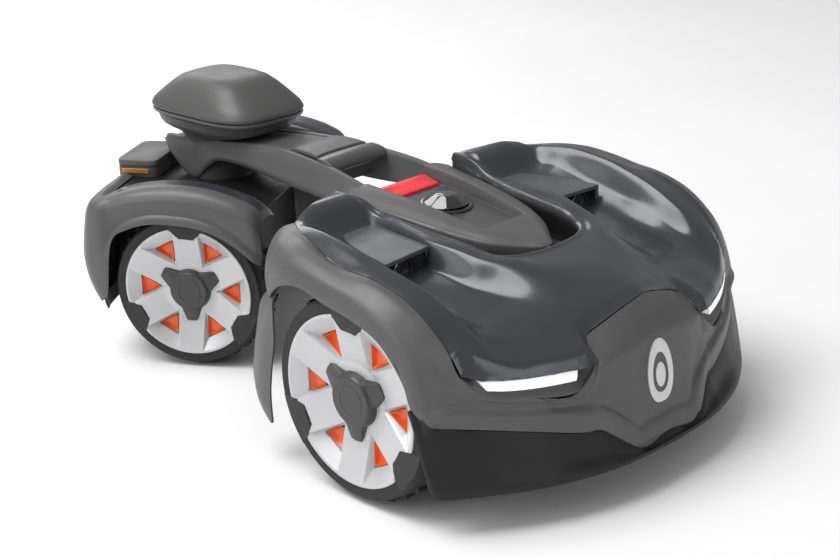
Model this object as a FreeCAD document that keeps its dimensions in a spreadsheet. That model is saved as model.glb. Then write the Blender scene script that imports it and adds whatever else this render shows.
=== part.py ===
import FreeCAD, Part
import math
import os

import Sketcher

# Articulated robotic lawn mower, in millimetres. +Z is up and the nose points along -Y, so the
# machine's right side is -X. The origin is on the ground, under the middle of the whole machine.
# The two-wheeled rear body steers about a vertical pivot and rests turned by rest_steer degrees.

Vector = FreeCAD.Vector
Z_AXIS = Vector(0, 0, 1)

SIZES = [
    # the whole machine
    ("front_axle_y", -262.0), ("pivot_ahead", 547.0), ("rest_steer", 30.5), ("skin", 3.0),
    ("seam", 0.6), ("running_gap", 0.05),
    # wheels: the rear ones are smaller than the front ones
    ("front_radius", 120.5), ("front_rim", 98.8), ("front_tyre_width", 76.0), ("front_face_x", 278.0),
    ("rear_radius", 106.0), ("rear_rim", 87.0), ("rear_tyre_width", 66.0), ("rear_face_x", 197.0),
    ("rear_axle_y", -17.5), ("lug_height", 4.5), ("lug_width", 9.0), ("lug_count", 30),
    ("shaft_radius", 6.0), ("hub_radius", 19.0), ("cap_radius", 24.0), ("cap_lobe", 9.0),
    # front chassis tray and cutting well
    ("tray_half", 190.0), ("tray_front", -181.0), ("tray_rear", 190.0), ("tray_low", 62.0),
    ("tray_high", 144.0), ("wall", 4.0), ("well_y", 10.0), ("well_radius", 128.0),
    ("well_ceiling", 108.0), ("motor_hole", 40.0), ("rod_x", 50.0), ("rod_y", 50.0),
    ("rod_radius", 4.0), ("screw_y", 78.0), ("screw_radius", 5.0), ("bridge_z", 172.0),
    # cutting system, at the middle of its height range
    ("cut_z", 50.0), ("disc_radius", 88.0), ("disc_thick", 3.0), ("blade_circle", 78.0),
    ("blade_length", 38.0), ("blade_half", 9.0), ("blade_thick", 1.0), ("pin_radius", 2.5),
    ("pin_head", 4.5), ("skid_radius", 98.0), ("skid_z", 40.0), ("spindle_radius", 5.0),
    ("cutter_radius", 34.0), ("cutter_low", 66.0), ("carriage_z", 132.0), ("blade_count", 5),
    # arm, console and aerial
    ("arm_half", 60.0), ("arm_tail_half", 44.0), ("console_front", -18.0), ("console_rear", 196.0),
    ("handle_front", 256.0), ("handle_rear", 292.0), ("housing_radius", 44.0),
    ("housing_low", 207.0), ("pivot_radius", 12.0), ("pivot_low", 172.0), ("knob_y", 112.0),
    ("knob_radius", 17.0), ("knob_ring", 27.0), ("console_z", 248.0), ("panel_z", 249.5),
    ("stop_y", 184.0),
    ("dome_half_x", 72.0), ("dome_half_y", 116.0), ("dome_ahead", 22.0), ("mast_ahead", 8.0),
    ("dome_rim_z", 308.0), ("dome_top_z", 355.0),
    # rear body, measured from the steering pivot
    ("deck_half", 124.0), ("deck_front", -62.0), ("deck_rear", 118.0), ("deck_low", 68.0),
    ("deck_high", 200.0), ("channel_half", 140.0), ("lid_half", 52.0), ("lid_front", 76.0),
    ("lid_rear", 138.0), ("lid_top", 236.0),
    # steering gears
    ("gear_module", 2.0), ("gear_teeth", 36), ("pinion_teeth", 12), ("gear_low", 178.0),
    ("gear_thick", 10.0), ("gear_backlash", 0.5),
    # screws sunk in the tray's floor
    ("belly_radius", 4.5), ("belly_x", 150.0), ("belly_y", 135.0),
]

doc = FreeCAD.newDocument("robotic_mower")
sheet = doc.addObject("Spreadsheet::Sheet", "Sizes")
for row, (alias, number) in enumerate(SIZES, 1):
    sheet.set(f"A{row}", alias)
    sheet.set(f"B{row}", str(number))
    sheet.setAlias(f"B{row}", alias)
doc.recompute()

subparts = []


def size(alias):
    return float(sheet.get(alias))


def bound(text):
    """The formula with every alias of the sheet written as Sizes.alias."""
    words = {alias for alias, _ in SIZES}
    out, word = "", ""
    for letter in str(text) + " ":
        if letter.isalnum() or letter == "_":
            word += letter
            continue
        out += ("Sizes." + word if word in words else word) + letter
        word = ""
    return out.strip()


# ---------------------------------------------------------------- sketches and features

def new_body(label):
    body = doc.addObject("PartDesign::Body", label)
    body.Label = label
    subparts.append(body)
    return body


def plane(body, role):
    return next(f for f in body.Origin.OriginFeatures if f.Role == role)


def new_sketch(body, role, offset="0"):
    sketch = body.newObject("Sketcher::SketchObject", "outline")
    sketch.AttachmentSupport = (plane(body, role), [""])
    sketch.MapMode = "FlatFace"
    sketch.setExpression("AttachmentOffset.Base.z", bound(offset))
    return sketch


def fix_point(sketch, geometry, end, x, y):
    for kind, formula in (("DistanceX", x), ("DistanceY", y)):
        number = sketch.addConstraint(Sketcher.Constraint(kind, -1, 1, geometry, end, 1.0))
        sketch.setExpression(f"Constraints[{number}]", bound(formula))


def polygon(sketch, points):
    count = len(points)
    first = sketch.GeometryCount
    for i in range(count):
        a, b = math.tau * i / count, math.tau * (i + 1) / count
        line = Part.LineSegment(Vector(math.cos(a), math.sin(a)), Vector(math.cos(b), math.sin(b)))
        sketch.addGeometry(line, False)
    for i in range(count):
        after = first + (i + 1) % count
        sketch.addConstraint(Sketcher.Constraint("Coincident", first + i, 2, after, 1))
    for i, (x, y) in enumerate(points):
        fix_point(sketch, first + i, 1, x, y)


def circle(sketch, x, y, radius):
    number = sketch.addGeometry(Part.Circle(Vector(0, 0), Z_AXIS, 5), False)
    fix_point(sketch, number, 3, x, y)
    rule = sketch.addConstraint(Sketcher.Constraint("Radius", number, 5.0))
    sketch.setExpression(f"Constraints[{rule}]", bound(radius))


def draw(sketch, shape):
    """A circle is (x, y, radius). Anything longer is a polygon's points."""
    if len(shape) == 3 and not isinstance(shape[0], tuple):
        circle(sketch, *shape)
    else:
        polygon(sketch, shape)


def rectangle(x_low, x_high, y_low, y_high):
    return [(x_low, y_low), (x_high, y_low), (x_high, y_high), (x_low, y_high)]


def cut_corners(half, front, rear, corner):
    """A rectangle symmetric about x = 0, with its four corners cut off."""
    inner = f"({half} - ({corner}))"
    return [
        (f"-{inner}", front), (inner, front), (half, f"{front} + ({corner})"),
        (half, f"{rear} - ({corner})"), (inner, rear), (f"-{inner}", rear),
        (f"-({half})", f"{rear} - ({corner})"), (f"-({half})", f"{front} + ({corner})"),
    ]


def pad(body, low, high, *shapes):
    sketch = new_sketch(body, "XY_Plane", low)
    for shape in shapes:
        draw(sketch, shape)
    feature = body.newObject("PartDesign::Pad", "pad")
    feature.Profile = sketch
    feature.setExpression("Length", bound(f"({high}) - ({low})"))
    return sketch, feature


def pocket(body, low, high, *shapes):
    sketch = new_sketch(body, "XY_Plane", high)
    for shape in shapes:
        draw(sketch, shape)
    feature = body.newObject("PartDesign::Pocket", "pocket")
    feature.Profile = sketch
    feature.setExpression("Length", bound(f"({high}) - ({low})"))
    return sketch, feature


def side_pocket(body, half_length, *shapes):
    """Cuts along X through both side walls. The sketch lies in the YZ plane."""
    sketch = new_sketch(body, "YZ_Plane")
    for shape in shapes:
        draw(sketch, shape)
    feature = body.newObject("PartDesign::Pocket", "side_pocket")
    feature.Profile = sketch
    feature.Midplane = True
    feature.setExpression("Length", bound(f"2 * ({half_length})"))


def revolve(body, profile):
    """Turns the profile of (radius, height) points about the body's Z axis."""
    sketch = new_sketch(body, "XZ_Plane")
    polygon(sketch, profile)
    feature = body.newObject("PartDesign::Revolution", "turned")
    feature.Profile = sketch
    feature.ReferenceAxis = (sketch, ["V_Axis"])
    feature.Angle = 360
    return feature


def repeat(body, feature, sketch, count):
    pattern = body.newObject("PartDesign::PolarPattern", "pattern")
    pattern.Originals = [feature]
    pattern.Axis = (sketch, ["N_Axis"])
    pattern.Angle = 360
    pattern.setExpression("Occurrences", bound(count))
    body.Tip = pattern


def loft(body, sections):
    """A beam along Y. Each section is (y, half width, lowest z, highest z, corner)."""
    sketches = []
    for y, half, low, high, corner in sections:
        sketch = new_sketch(body, "XZ_Plane", f"-({y})")
        polygon(sketch, cut_corners(str(half), str(low), str(high), str(corner)))
        sketches.append(sketch)
    feature = body.newObject("PartDesign::AdditiveLoft", "beam")
    feature.Profile = sketches[0]
    feature.Sections = sketches[1:]
    feature.Ruled = True
    return feature


def drum(label, x, y, low, high, radius):
    """One upright cylinder whose sizes are formulas."""
    item = doc.addObject("Part::Cylinder", label)
    item.setExpression("Radius", bound(radius))
    item.setExpression("Height", bound(f"({high}) - ({low})"))
    item.setExpression("Placement.Base.x", bound(x))
    item.setExpression("Placement.Base.y", bound(y))
    item.setExpression("Placement.Base.z", bound(low))
    return item


def group(label, items):
    made = doc.addObject("Part::Compound", label)
    made.Label = label
    made.Links = items
    subparts.append(made)
    return made


def fused(label, items):
    made = doc.addObject("Part::MultiFuse", label)
    made.Label = label
    made.Shapes = items
    return made


def solid(label, shape):
    made = doc.addObject("Part::Feature", label)
    made.Label = label
    made.Shape = shape
    subparts.append(made)
    return made


# ---------------------------------------------------------------- places

def at(x=0.0, y=0.0, z=0.0, turn=None):
    return FreeCAD.Placement(Vector(x, y, z), turn or FreeCAD.Rotation())


FRONT = at(y=size("front_axle_y"))
PIVOT_Y = size("front_axle_y") + size("pivot_ahead")
REAR = at(y=PIVOT_Y, turn=FreeCAD.Rotation(Z_AXIS, size("rest_steer")))


def outward(side):
    """Turns a piece made about Z so that its +Z points away from the machine."""
    return FreeCAD.Rotation(Vector(0, 1, 0), 90 * side)


# ---------------------------------------------------------------- wheels

def tyre(label, end, place):
    body = new_body(label)
    radius, rim, width = f"({end}_radius - lug_height)", f"{end}_rim", f"{end}_tyre_width"
    revolve(body, [
        (rim, f"-{width} + 1"), (f"{radius} - 6", f"-{width}"), (radius, f"-{width} + 9"),
        (radius, "-9"), (f"{radius} - 6", "0"), (rim, "-1"),
    ])
    lug = rectangle(f"{radius} - 2", f"{end}_radius", "-lug_width / 2", "lug_width / 2")
    sketch, feature = pad(body, f"-{width} + 10", "-10", lug)
    repeat(body, feature, sketch, "lug_count")
    body.Placement = place


def rim(label, end, place):
    body = new_body(label)
    edge, width = f"{end}_rim", f"{end}_tyre_width"
    bore = "shaft_radius + running_gap"
    revolve(body, [
        (bore, f"-{width} + 8"), ("hub_radius", f"-{width} + 8"), ("hub_radius", "-31"),
        (f"{edge} - 6", "-25"), (f"{edge} - 6", f"-{width} + 3"), (edge, f"-{width} + 3"),
        (edge, "-1"), (f"{edge} - 3", "-1"), (f"{edge} - 5", "-13"), ("cap_radius + 3", "-26"),
        (bore, "-26"),
    ])
    window = [(f"{edge} * 0.52", "-3"), (f"{edge} * 0.84", "-11"), (f"{edge} * 0.84", "11"),
              (f"{edge} * 0.52", "3")]
    sketch, feature = pocket(body, f"-{width}", "0", window)
    repeat(body, feature, sketch, "6")
    body.Placement = place


def window_insert(label, end, place):
    body = new_body(label)
    revolve(body, [
        ("hub_radius + 0.5", "-36"), (f"{end}_rim - 7", "-36"), (f"{end}_rim - 7", "-33.5"),
        ("hub_radius + 0.5", "-33.5"),
    ])
    body.Placement = place


def hub_cap(label, place):
    body = new_body(label)
    revolve(body, [("0", "-25.5"), ("cap_radius - 2", "-25.5"), ("cap_radius", "-20"),
                   ("cap_radius - 1", "-3"), ("cap_radius - 4", "0"), ("0", "0")])
    sketch, feature = pad(body, "-20", "-4", ("cap_radius + 1", "0", "cap_lobe"))
    repeat(body, feature, sketch, "3")
    body.Placement = place


def wheel(name, end, side, base):
    """One wheel: tyre, rim, window insert and hub cap, seen from outside at z = 0."""
    y = size("rear_axle_y") if end == "rear" else 0.0
    place = base * at(side * size(f"{end}_face_x"), y, size(f"{end}_radius"), outward(side))
    tyre(f"tyre_{name}", end, place)
    rim(f"rim_{name}", end, place)
    window_insert(f"window_insert_{name}", end, place)
    hub_cap(f"hub_cap_{name}", place)


def wheel_motors(label, end, inner, outer, radius, base):
    """Two gear motors back to back, each with its shaft in the wheel's hub."""
    y = "rear_axle_y" if end == "rear" else "0"
    halves = []
    for side in (-1, 1):
        can = drum(f"{end}_can", "0", "0", inner, outer, radius)
        nose = drum(f"{end}_gearbox", "0", "0", outer, f"{outer} + 4", "12")
        shaft = drum(f"{end}_shaft", "0", "0", outer, f"{end}_face_x - 27", "shaft_radius")
        motor = fused(f"{end}_motor", [can, nose, shaft])
        motor.Placement = at(0, 0, 0, outward(side))
        halves.append(motor)
    pair = group(label, halves)
    pair.Placement = base * at(0, size(y) if y != "0" else 0.0, size(f"{end}_radius"))


# ---------------------------------------------------------------- skins

def level_wire(z, half, front, drop, rear, corner):
    """One level of a skin: a bowed front edge, straight sides and a rear edge with cut corners."""
    power, steps = 2.34, 8
    bow = [Vector(half * i / steps, front + drop * abs(i / steps) ** power, z)
           for i in range(-steps, steps + 1)]
    curve = Part.BSplineCurve()
    curve.interpolate(bow)
    ends = [bow[-1], Vector(half, rear - corner, z), Vector(half - corner, rear, z),
            Vector(corner - half, rear, z), Vector(-half, rear - corner, z), bow[0]]
    edges = [curve.toShape()]
    edges += [Part.LineSegment(a, b).toShape() for a, b in zip(ends, ends[1:])]
    return Part.Wire(edges)


def mound(levels, inset=0.0, extra=0.0):
    """A closed mound through the levels. An inset one is smaller all round and lower."""
    wires = []
    for number, (z, half, front, drop, rear, corner) in enumerate(levels):
        low = z - inset - (extra if number == 0 else 0.0)
        wires.append(level_wire(low, half - inset, front + inset, drop, rear - inset, corner))
    return Part.makeLoft(wires, True, True)


def block(x_low, x_high, y_low, y_high, z_low, z_high):
    return Part.makeBox(x_high - x_low, y_high - y_low, z_high - z_low,
                        Vector(x_low, y_low, z_low))


def prism(points, z_low, z_high):
    """An upright prism over plan points given for x > 0 and mirrored in x = 0."""
    ring = points + [(-x, y) for x, y in reversed(points)]
    corners = [Vector(x, y, z_low) for x, y in ring]
    face = Part.Face(Part.makePolygon(corners + corners[:1]))
    return face.extrude(Vector(0, 0, z_high - z_low))


def cross_bar(radius, y, z, x_low, x_high):
    return Part.makeCylinder(radius, x_high - x_low, Vector(x_low, y, z), Vector(1, 0, 0))


FRONT_LEVELS = [  # z, half width, front y at the middle, set-back at the sides, rear y, corner
    (45, 270, -231, 106, 150, 25), (110, 276, -227, 108, 166, 30), (160, 276, -206, 98, 178, 40),
    (205, 274, -187, 88, 190, 50), (226, 270, -100, 20, 196, 58), (250, 262, 20, -62, 192, 62),
    (270, 240, 90, -70, 184, 60), (283, 205, 128, -48, 172, 50),
]


def front_skin():
    thick = size("skin")
    skin = mound(FRONT_LEVELS).cut(mound(FRONT_LEVELS, thick, 10))
    arch, axle = size("front_radius") + 10.5, size("front_radius")
    for side in (-1, 1):
        a, b = sorted((side * 196, side * 300))
        skin = skin.cut(cross_bar(arch, 0, axle, a, b))
        skin = skin.cut(block(a, b, -arch, arch, 0, axle))
    slot = prism([(36, -30), (67, 60), (67, 230)], 195, 320)
    tray = size("tray_half") + 7
    return skin.cut(slot).cut(block(-tray, tray, 100, 300, 0, 196))


def front_covers():
    """The floating outer shell: body shell, hood, nose plate and bumper skirt."""
    gap = size("seam")
    skin = front_skin()
    hood = [(96, -178), (205, -142), (228, -60), (228, 60), (196, 150), (50, 150)]
    grown = [(96 - gap, -178 - gap), (205 + gap, -142 - gap), (228 + gap, -60),
             (228 + gap, 60), (196 + gap, 150 + gap), (50, 150 + gap)]
    nose = block(-88, 88, -240, -150, 70, 215)
    nose_grown = block(-88 - gap, 88 + gap, -240, -150 + gap, 70 - gap, 215)
    low = block(-300, 300, -240, -100, 30, 112).cut(nose_grown)
    low_grown = block(-300, 300, -240, -100, 30, 112 + gap).cut(nose)
    lens_slot = lens_bar(1).fuse(lens_bar(-1))
    hood_shape = skin.common(prism(hood, 168, 320)).cut(nose_grown).cut(lens_slot)
    shell = skin.cut(prism(grown, 168 - gap, 320)).cut(nose_grown).cut(low_grown).cut(lens_slot)
    for label, shape in (("front_body_shell", shell), ("hood_cover", hood_shape),
                         ("nose_plate", skin.common(nose)), ("bumper_skirt", skin.common(low))):
        keep = max(shape.Solids, key=lambda one: one.Volume)
        solid(label, keep).Placement = FRONT


def lens_bar(side):
    """One headlight's lens: a bar that follows the bowed nose."""
    low, high, depth = 146, 160, 14
    front = [(112, -198), (160, -180), (214, -143)]
    ring = front + [(x - 3, y + depth) for x, y in reversed(front)]
    corners = [Vector(side * x, y, low) for x, y in ring]
    face = Part.Face(Part.makePolygon(corners + corners[:1]))
    return face.extrude(Vector(0, 0, high - low))


def headlights():
    solid("headlight_lenses", Part.makeCompound([lens_bar(-1), lens_bar(1)])).Placement = FRONT


def ultrasonic_sensors():
    pods = []
    for side in (-1, 1):
        pod = Part.makeCylinder(13, 20, Vector(side * 150, 36, 236), Vector(0, 1, 0))
        pods.append(pod)
    solid("ultrasonic_sensors", Part.makeCompound(pods)).Placement = FRONT


def front_mud_flaps():
    flaps = []
    for side in (-1, 1):
        a, b = sorted((side * 206, side * 249))
        flaps.append(block(a, b, 134, 140, 46, 196))
    solid("front_mud_flaps", Part.makeCompound(flaps)).Placement = FRONT


# ---------------------------------------------------------------- front chassis and cutting system

def front_chassis():
    body = new_body("front_chassis")
    corner = "60"
    pad(body, "tray_low", "tray_high", cut_corners("tray_half", "tray_front", "tray_rear", corner))
    inside = cut_corners("(tray_half - wall)", "(tray_front + wall)", "(tray_rear - wall)", corner)
    pocket(body, "tray_low + wall", "tray_high", inside)
    pad(body, "tray_low", "well_ceiling", ("0", "well_y", "well_radius + wall"))
    pocket(body, "tray_low", "well_ceiling - wall", ("0", "well_y", "well_radius"))
    pocket(body, "well_ceiling - wall", "well_ceiling", ("0", "well_y", "motor_hole"))
    pad(body, "well_ceiling", "bridge_z - 4", ("rod_x", "rod_y", "rod_radius"),
        ("-rod_x", "rod_y", "rod_radius"))
    pad(body, "tray_low + wall", "224", rectangle("-52", "-34", "160", "tray_rear"),
        rectangle("34", "52", "160", "tray_rear"))
    pad(body, "well_ceiling - 1", "222", rectangle("-45", "-25", "-62", "-44"),
        rectangle("25", "45", "-62", "-44"))
    pad(body, "214", "222", rectangle("-45", "-25", "-44", "30"),
        rectangle("25", "45", "-44", "30"))
    pad(body, "bridge_z - 4", "bridge_z", rectangle("-52", "52", "60", "tray_rear"))
    pocket(body, "bridge_z - 4", "bridge_z", ("0", "screw_y", "screw_radius + 3"))
    side_pocket(body, "tray_half + 10", ("0", "front_radius", "13"))
    holes = [(f"{i}belly_x", f"{j}belly_y", "belly_radius") for i in ("", "-") for j in ("", "-")]
    pocket(body, "tray_low", "tray_low + wall", *holes)
    body.Placement = FRONT


def battery_pack():
    body = new_body("battery_pack")
    pad(body, "tray_low + wall", "130", rectangle("-76", "76", "tray_front + wall + 1", "-142"))
    body.Placement = FRONT


def lift_gear():
    """Height motor on the chassis bridge, and the screw that it turns in the carriage's nut."""
    motor = drum("lift_can", "0", "screw_y", "bridge_z", "bridge_z + 26", "17")
    group("height_motor", [motor]).Placement = FRONT
    screw = drum("lift_rod", "0", "screw_y", "well_ceiling + 0.5", "bridge_z - 0.5", "screw_radius")
    group("lift_screw", [screw]).Placement = FRONT


def deck_carriage():
    body = new_body("deck_carriage")
    pad(body, "carriage_z", "carriage_z + 6", cut_corners("70", "-40", "98", "20"))
    holes = [("rod_x", "rod_y", "rod_radius + running_gap"),
             ("-rod_x", "rod_y", "rod_radius + running_gap"),
             ("0", "screw_y", "screw_radius + running_gap")]
    pocket(body, "carriage_z", "carriage_z + 6", *holes)
    body.Placement = FRONT


def cutting_motor():
    body = new_body("cutting_motor")
    revolve(body, [("0", "skid_z + 0.5"), ("spindle_radius", "skid_z + 0.5"),
                   ("spindle_radius", "cutter_low"), ("cutter_radius - 6", "cutter_low"),
                   ("cutter_radius", "cutter_low + 6"), ("cutter_radius", "carriage_z"),
                   ("0", "carriage_z")])
    body.Placement = FRONT * at(0, size("well_y"), 0)


def blade_disc():
    body = new_body("blade_disc")
    base = "cut_z + blade_thick + 0.3"
    bore = "spindle_radius + running_gap"
    revolve(body, [(bore, base), ("disc_radius", base), ("disc_radius", f"{base} + disc_thick"),
                   ("22", f"{base} + disc_thick"), ("16", "cutter_low - 2"),
                   (bore, "cutter_low - 2")])
    window = [("32", "-7"), ("58", "-13"), ("58", "13"), ("32", "7")]
    sketch, feature = pocket(body, base, f"{base} + disc_thick", window)
    repeat(body, feature, sketch, "blade_count")
    body.Placement = FRONT * at(0, size("well_y"), 0, FreeCAD.Rotation(Z_AXIS, 36))


def blade_place(number):
    """The middle of one blade's pin, with +X pointing away from the disc's middle."""
    turn = FreeCAD.Rotation(Z_AXIS, 360 * number / size("blade_count"))
    return FRONT * at(0, size("well_y"), 0, turn) * at(size("blade_circle"), 0, 0)


def blade_screws():
    screws = []
    for number in range(int(size("blade_count"))):
        head = drum("screw_head", "0", "0", "cut_z - 2.2", "cut_z - 0.3", "pin_head")
        shank = drum("screw_shank", "0", "0", "cut_z - 0.3", "cut_z + blade_thick + 0.3", "pin_radius")
        screw = fused("blade_screw", [head, shank])
        screw.Placement = blade_place(number)
        screws.append(screw)
    group("blade_screws", screws)


def blade(number):
    body = new_body(f"blade_{number + 1}")
    tip = "blade_length - 6"
    outline = [("-8", "-blade_half"), (f"{tip} - 5", "-blade_half"), (tip, "-blade_half + 5"),
               (tip, "blade_half - 5"), (f"{tip} - 5", "blade_half"), ("-8", "blade_half")]
    pad(body, "cut_z", "cut_z + blade_thick", outline)
    pocket(body, "cut_z", "cut_z + blade_thick", ("0", "0", "pin_radius + running_gap"))
    body.Placement = blade_place(number)


def skid_plate():
    body = new_body("skid_plate")
    bore = "spindle_radius + running_gap"
    revolve(body, [(bore, "skid_z"), ("skid_radius - 12", "skid_z"), ("skid_radius", "skid_z + 3"),
                   ("skid_radius", "skid_z + 5"), ("skid_radius - 13", "skid_z + 2.5"),
                   ("14", "skid_z + 2.5"), ("14", "cut_z - 1"), (bore, "cut_z - 1")])
    body.Placement = FRONT * at(0, size("well_y"), 0)


# ---------------------------------------------------------------- arm, console and aerial

def arm_frame():
    body = new_body("arm_frame")
    loft(body, [("console_front", 30, 222, 236, 4), (50, 54, 222, 240, 4),
                (150, "arm_half", 224, 242, 4), ("console_rear", "arm_half", 226, 246, 4),
                ("handle_front", "arm_half - 2", 238, 270, 6), (300, 55, 240, 275, 8),
                (380, 50, 243, 276, 8), (470, "arm_tail_half + 1", 246, 267, 7),
                (508, "arm_tail_half", 246, 262, 7), (600, "arm_tail_half - 4", 247, 262, 7)])
    pad(body, "housing_low", "262", ("0", "pivot_ahead", "housing_radius"))
    pocket(body, "200", "300", cut_corners("40", "(console_rear + 4)", "(handle_front - 4)", "8"))
    pocket(body, "200", "300", ("0", "pivot_ahead", "pivot_radius"))
    pocket(body, "200", "300", ("0", "knob_y", "5"))
    body.Placement = FRONT


def console_cover():
    body = new_body("console_cover")
    loft(body, [("console_front", 30, 236, 250, 5), (50, 54, 240, 256, 5),
                (150, "arm_half - 1", 242, 264, 6), ("console_rear", "arm_half - 2", 246, 268, 6)])
    pocket(body, "console_z", "290", ("0", "knob_y", "knob_ring + 3"))
    pocket(body, "200", "290", ("0", "knob_y", "5"))
    pocket(body, "stop_y + 77", "290", rectangle("-48", "48", "stop_y - 14", "console_rear + 5"))
    pocket(body, "panel_z", "290", panel_outline("seam"))
    body.Placement = FRONT


def panel_outline(grow):
    """The display's tapered outline, grown all round."""
    front, rear = f"-(6 + {grow})", f"72 + {grow}"
    return [(f"-(5 + {grow})", front), (f"5 + {grow}", front),
            (f"34 + {grow}", rear), (f"-(34 + {grow})", rear)]


def display_panel():
    body = new_body("display_panel")
    pad(body, "panel_z", "panel_z + 2.5", panel_outline("0"))
    body.Placement = FRONT


def knob_parts():
    shaft = drum("knob_rod", "0", "knob_y", "228", "252", "4.5")
    flange = drum("knob_flange", "0", "knob_y", "252", "254", "knob_radius - 4")
    rod = fused("knob_stem", [shaft, flange])
    group("knob_shaft", [rod]).Placement = FRONT
    body = new_body("control_knob")
    revolve(body, [("0", "254.3"), ("knob_radius - 1", "254.3"), ("knob_radius", "256"),
                   ("knob_radius - 2", "268"), ("knob_radius - 5", "270"), ("0", "270")])
    sketch, feature = pocket(body, "256", "270", ("knob_radius + 2", "0", "4.5"))
    repeat(body, feature, sketch, "6")
    body.Placement = FRONT * at(0, size("knob_y"), 0)


def stop_button():
    body = new_body("stop_button")
    pad(body, "stop_y + 81", "stop_y + 88", cut_corners("46", "(stop_y - 12)", "(stop_y + 11)", "3"))
    body.Placement = FRONT


def carry_handle():
    body = new_body("carry_handle")
    loft(body, [("handle_front + 2", 50, 271, 279, 3), ("handle_front + 10", 52, 275.5, 287, 4),
                ("handle_rear", 50, 275.5, 289, 4)])
    body.Placement = FRONT


def arm_rear_cover():
    body = new_body("arm_rear_cover")
    loft(body, [("handle_rear + 1", 50, 275.5, 291, 5), (380, 45, 276.5, 290, 5),
                (470, 38, 269, 277, 4)])
    body.Placement = FRONT


def antenna():
    base = new_body("antenna_base")
    loft_up(base, [("262", "26", "30"), ("276", "30", "38"), ("296", "56", "82"),
                   ("dome_rim_z - 1", "dome_half_x - 2", "dome_half_y - 16")])
    base.Placement = at(y=PIVOT_Y - size("mast_ahead"))
    dome = new_body("antenna_dome")
    loft_up(dome, [("dome_rim_z", "dome_half_x", "dome_half_y"),
                   ("dome_rim_z + 8", "dome_half_x", "dome_half_y"),
                   ("dome_top_z - 12", "dome_half_x * 0.72", "dome_half_y * 0.72"),
                   ("dome_top_z", "dome_half_x * 0.5", "dome_half_y * 0.5")])
    dome.Placement = at(y=PIVOT_Y - size("dome_ahead"))


def loft_up(body, levels):
    """A tower of rectangles with cut corners. Each level is (z, half x, half y)."""
    sketches = []
    for z, half_x, half_y in levels:
        sketch = new_sketch(body, "XY_Plane", z)
        polygon(sketch, cut_corners(f"({half_x})", f"-({half_y})", f"({half_y})", "14"))
        sketches.append(sketch)
    feature = body.newObject("PartDesign::AdditiveLoft", "tower")
    feature.Profile = sketches[0]
    feature.Sections = sketches[1:]
    feature.Ruled = True


# ---------------------------------------------------------------- rear body

REAR_LEVELS = [  # z, half width, front y, set-back at the sides, rear y, corner
    (76, 196, -30, -4, 128, 40), (108, 204, -60, -4, 146, 42), (150, 206, -118, -4, 146, 44),
    (190, 206, -126, 0, 138, 44), (214, 204, -121, 2, 128, 44), (234, 198, -84, 2, 98, 44),
    (245, 184, -42, 2, 60, 36),
]


def rear_outer(inset, extra):
    half = size("channel_half") + inset
    body = mound(REAR_LEVELS, inset, extra)
    deep = size("deck_high") + 12 - inset
    body = body.cut(block(-half, half, -200, 300, deep, 320))
    deck = size("deck_half") + 2
    return body.cut(block(-deck, deck, -200, size("deck_rear"), 0, 206))


def rear_covers():
    thick, gap = size("skin"), size("seam")
    skin = rear_outer(0.0, 0).cut(mound_hollow(thick))
    axle_y, axle_z = size("rear_axle_y"), size("rear_radius")
    for side in (-1, 1):
        a, b = sorted((side * 129, side * 201))
        skin = skin.cut(cross_bar(axle_z + 6, axle_y, axle_z, a, b))
        a, b = sorted((side * 129, side * 240))
        skin = skin.cut(cross_bar(axle_z - 5, axle_y, axle_z, a, b))
        skin = skin.cut(block(a, b, axle_y - axle_z - 6, axle_y + axle_z + 6, 0, axle_z))
    seat = Part.makeCylinder(size("housing_radius") + 3, 20, Vector(0, 0, size("deck_high")))
    skin = skin.cut(seat)
    guard = block(-300, 300, 60, 300, 0, 150)
    guard_grown = block(-300, 300, 60 - gap, 300, 0, 150 + gap)
    for label, shape in (("rear_shell", skin.cut(guard_grown)), ("rear_guard", skin.common(guard))):
        keep = max(shape.Solids, key=lambda one: one.Volume)
        solid(label, keep).Placement = REAR


def mound_hollow(thick):
    """What is taken out of the rear mound: its inside, short of the central channel's floor."""
    half = size("channel_half") + thick
    hollow = mound(REAR_LEVELS, thick, 10)
    return hollow.cut(block(-half, half, -200, 300, size("deck_high") + 12 - thick, 320))


def rear_chassis():
    body = new_body("rear_chassis")
    inner = "(deck_half - wall)"
    pad(body, "deck_low", "deck_high", cut_corners("deck_half", "deck_front", "deck_rear", "10"))
    pocket(body, "deck_low", "deck_high - 8",
           cut_corners(inner, "(deck_front + wall)", "(deck_rear - wall)", "8"))
    pocket(body, "deck_high - 8", "deck_high", ("0", "0", "pivot_radius + running_gap"))
    side_pocket(body, "deck_half + 10", ("rear_axle_y", "rear_radius", "13"))
    body.Placement = REAR


def rear_box():
    body = new_body("rear_box_cover")
    pad(body, "deck_high + 12.5", "lid_top",
        cut_corners("lid_half", "lid_front", "lid_rear", "10"))
    body.Placement = REAR


def gear_wire(teeth):
    """A spur gear's outline: involute flanks from the base circle to the tip."""
    module, angle = size("gear_module"), math.radians(20)
    pitch = module * teeth / 2
    base, tip, root = pitch * math.cos(angle), pitch + module * 0.9, pitch - module * 1.3
    half = (math.pi * module / 2 - size("gear_backlash")) / 2 / pitch
    start = half + math.tan(angle) - angle
    points = []
    for tooth in range(int(teeth)):
        middle = math.tau * tooth / teeth
        flank = []
        for step in range(5):
            radius = max(base, root) + (tip - max(base, root)) * step / 4
            turn = math.sqrt(max((radius / base) ** 2 - 1, 0))
            flank.append((radius, start - (turn - math.atan(turn))))
        low = [(root, flank[0][1])] + flank
        points += [(r, middle - a) for r, a in low] + [(r, middle + a) for r, a in reversed(low)]
    ring = [Vector(r * math.cos(a), r * math.sin(a), 0) for r, a in points]
    return Part.makePolygon(ring + ring[:1])


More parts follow.
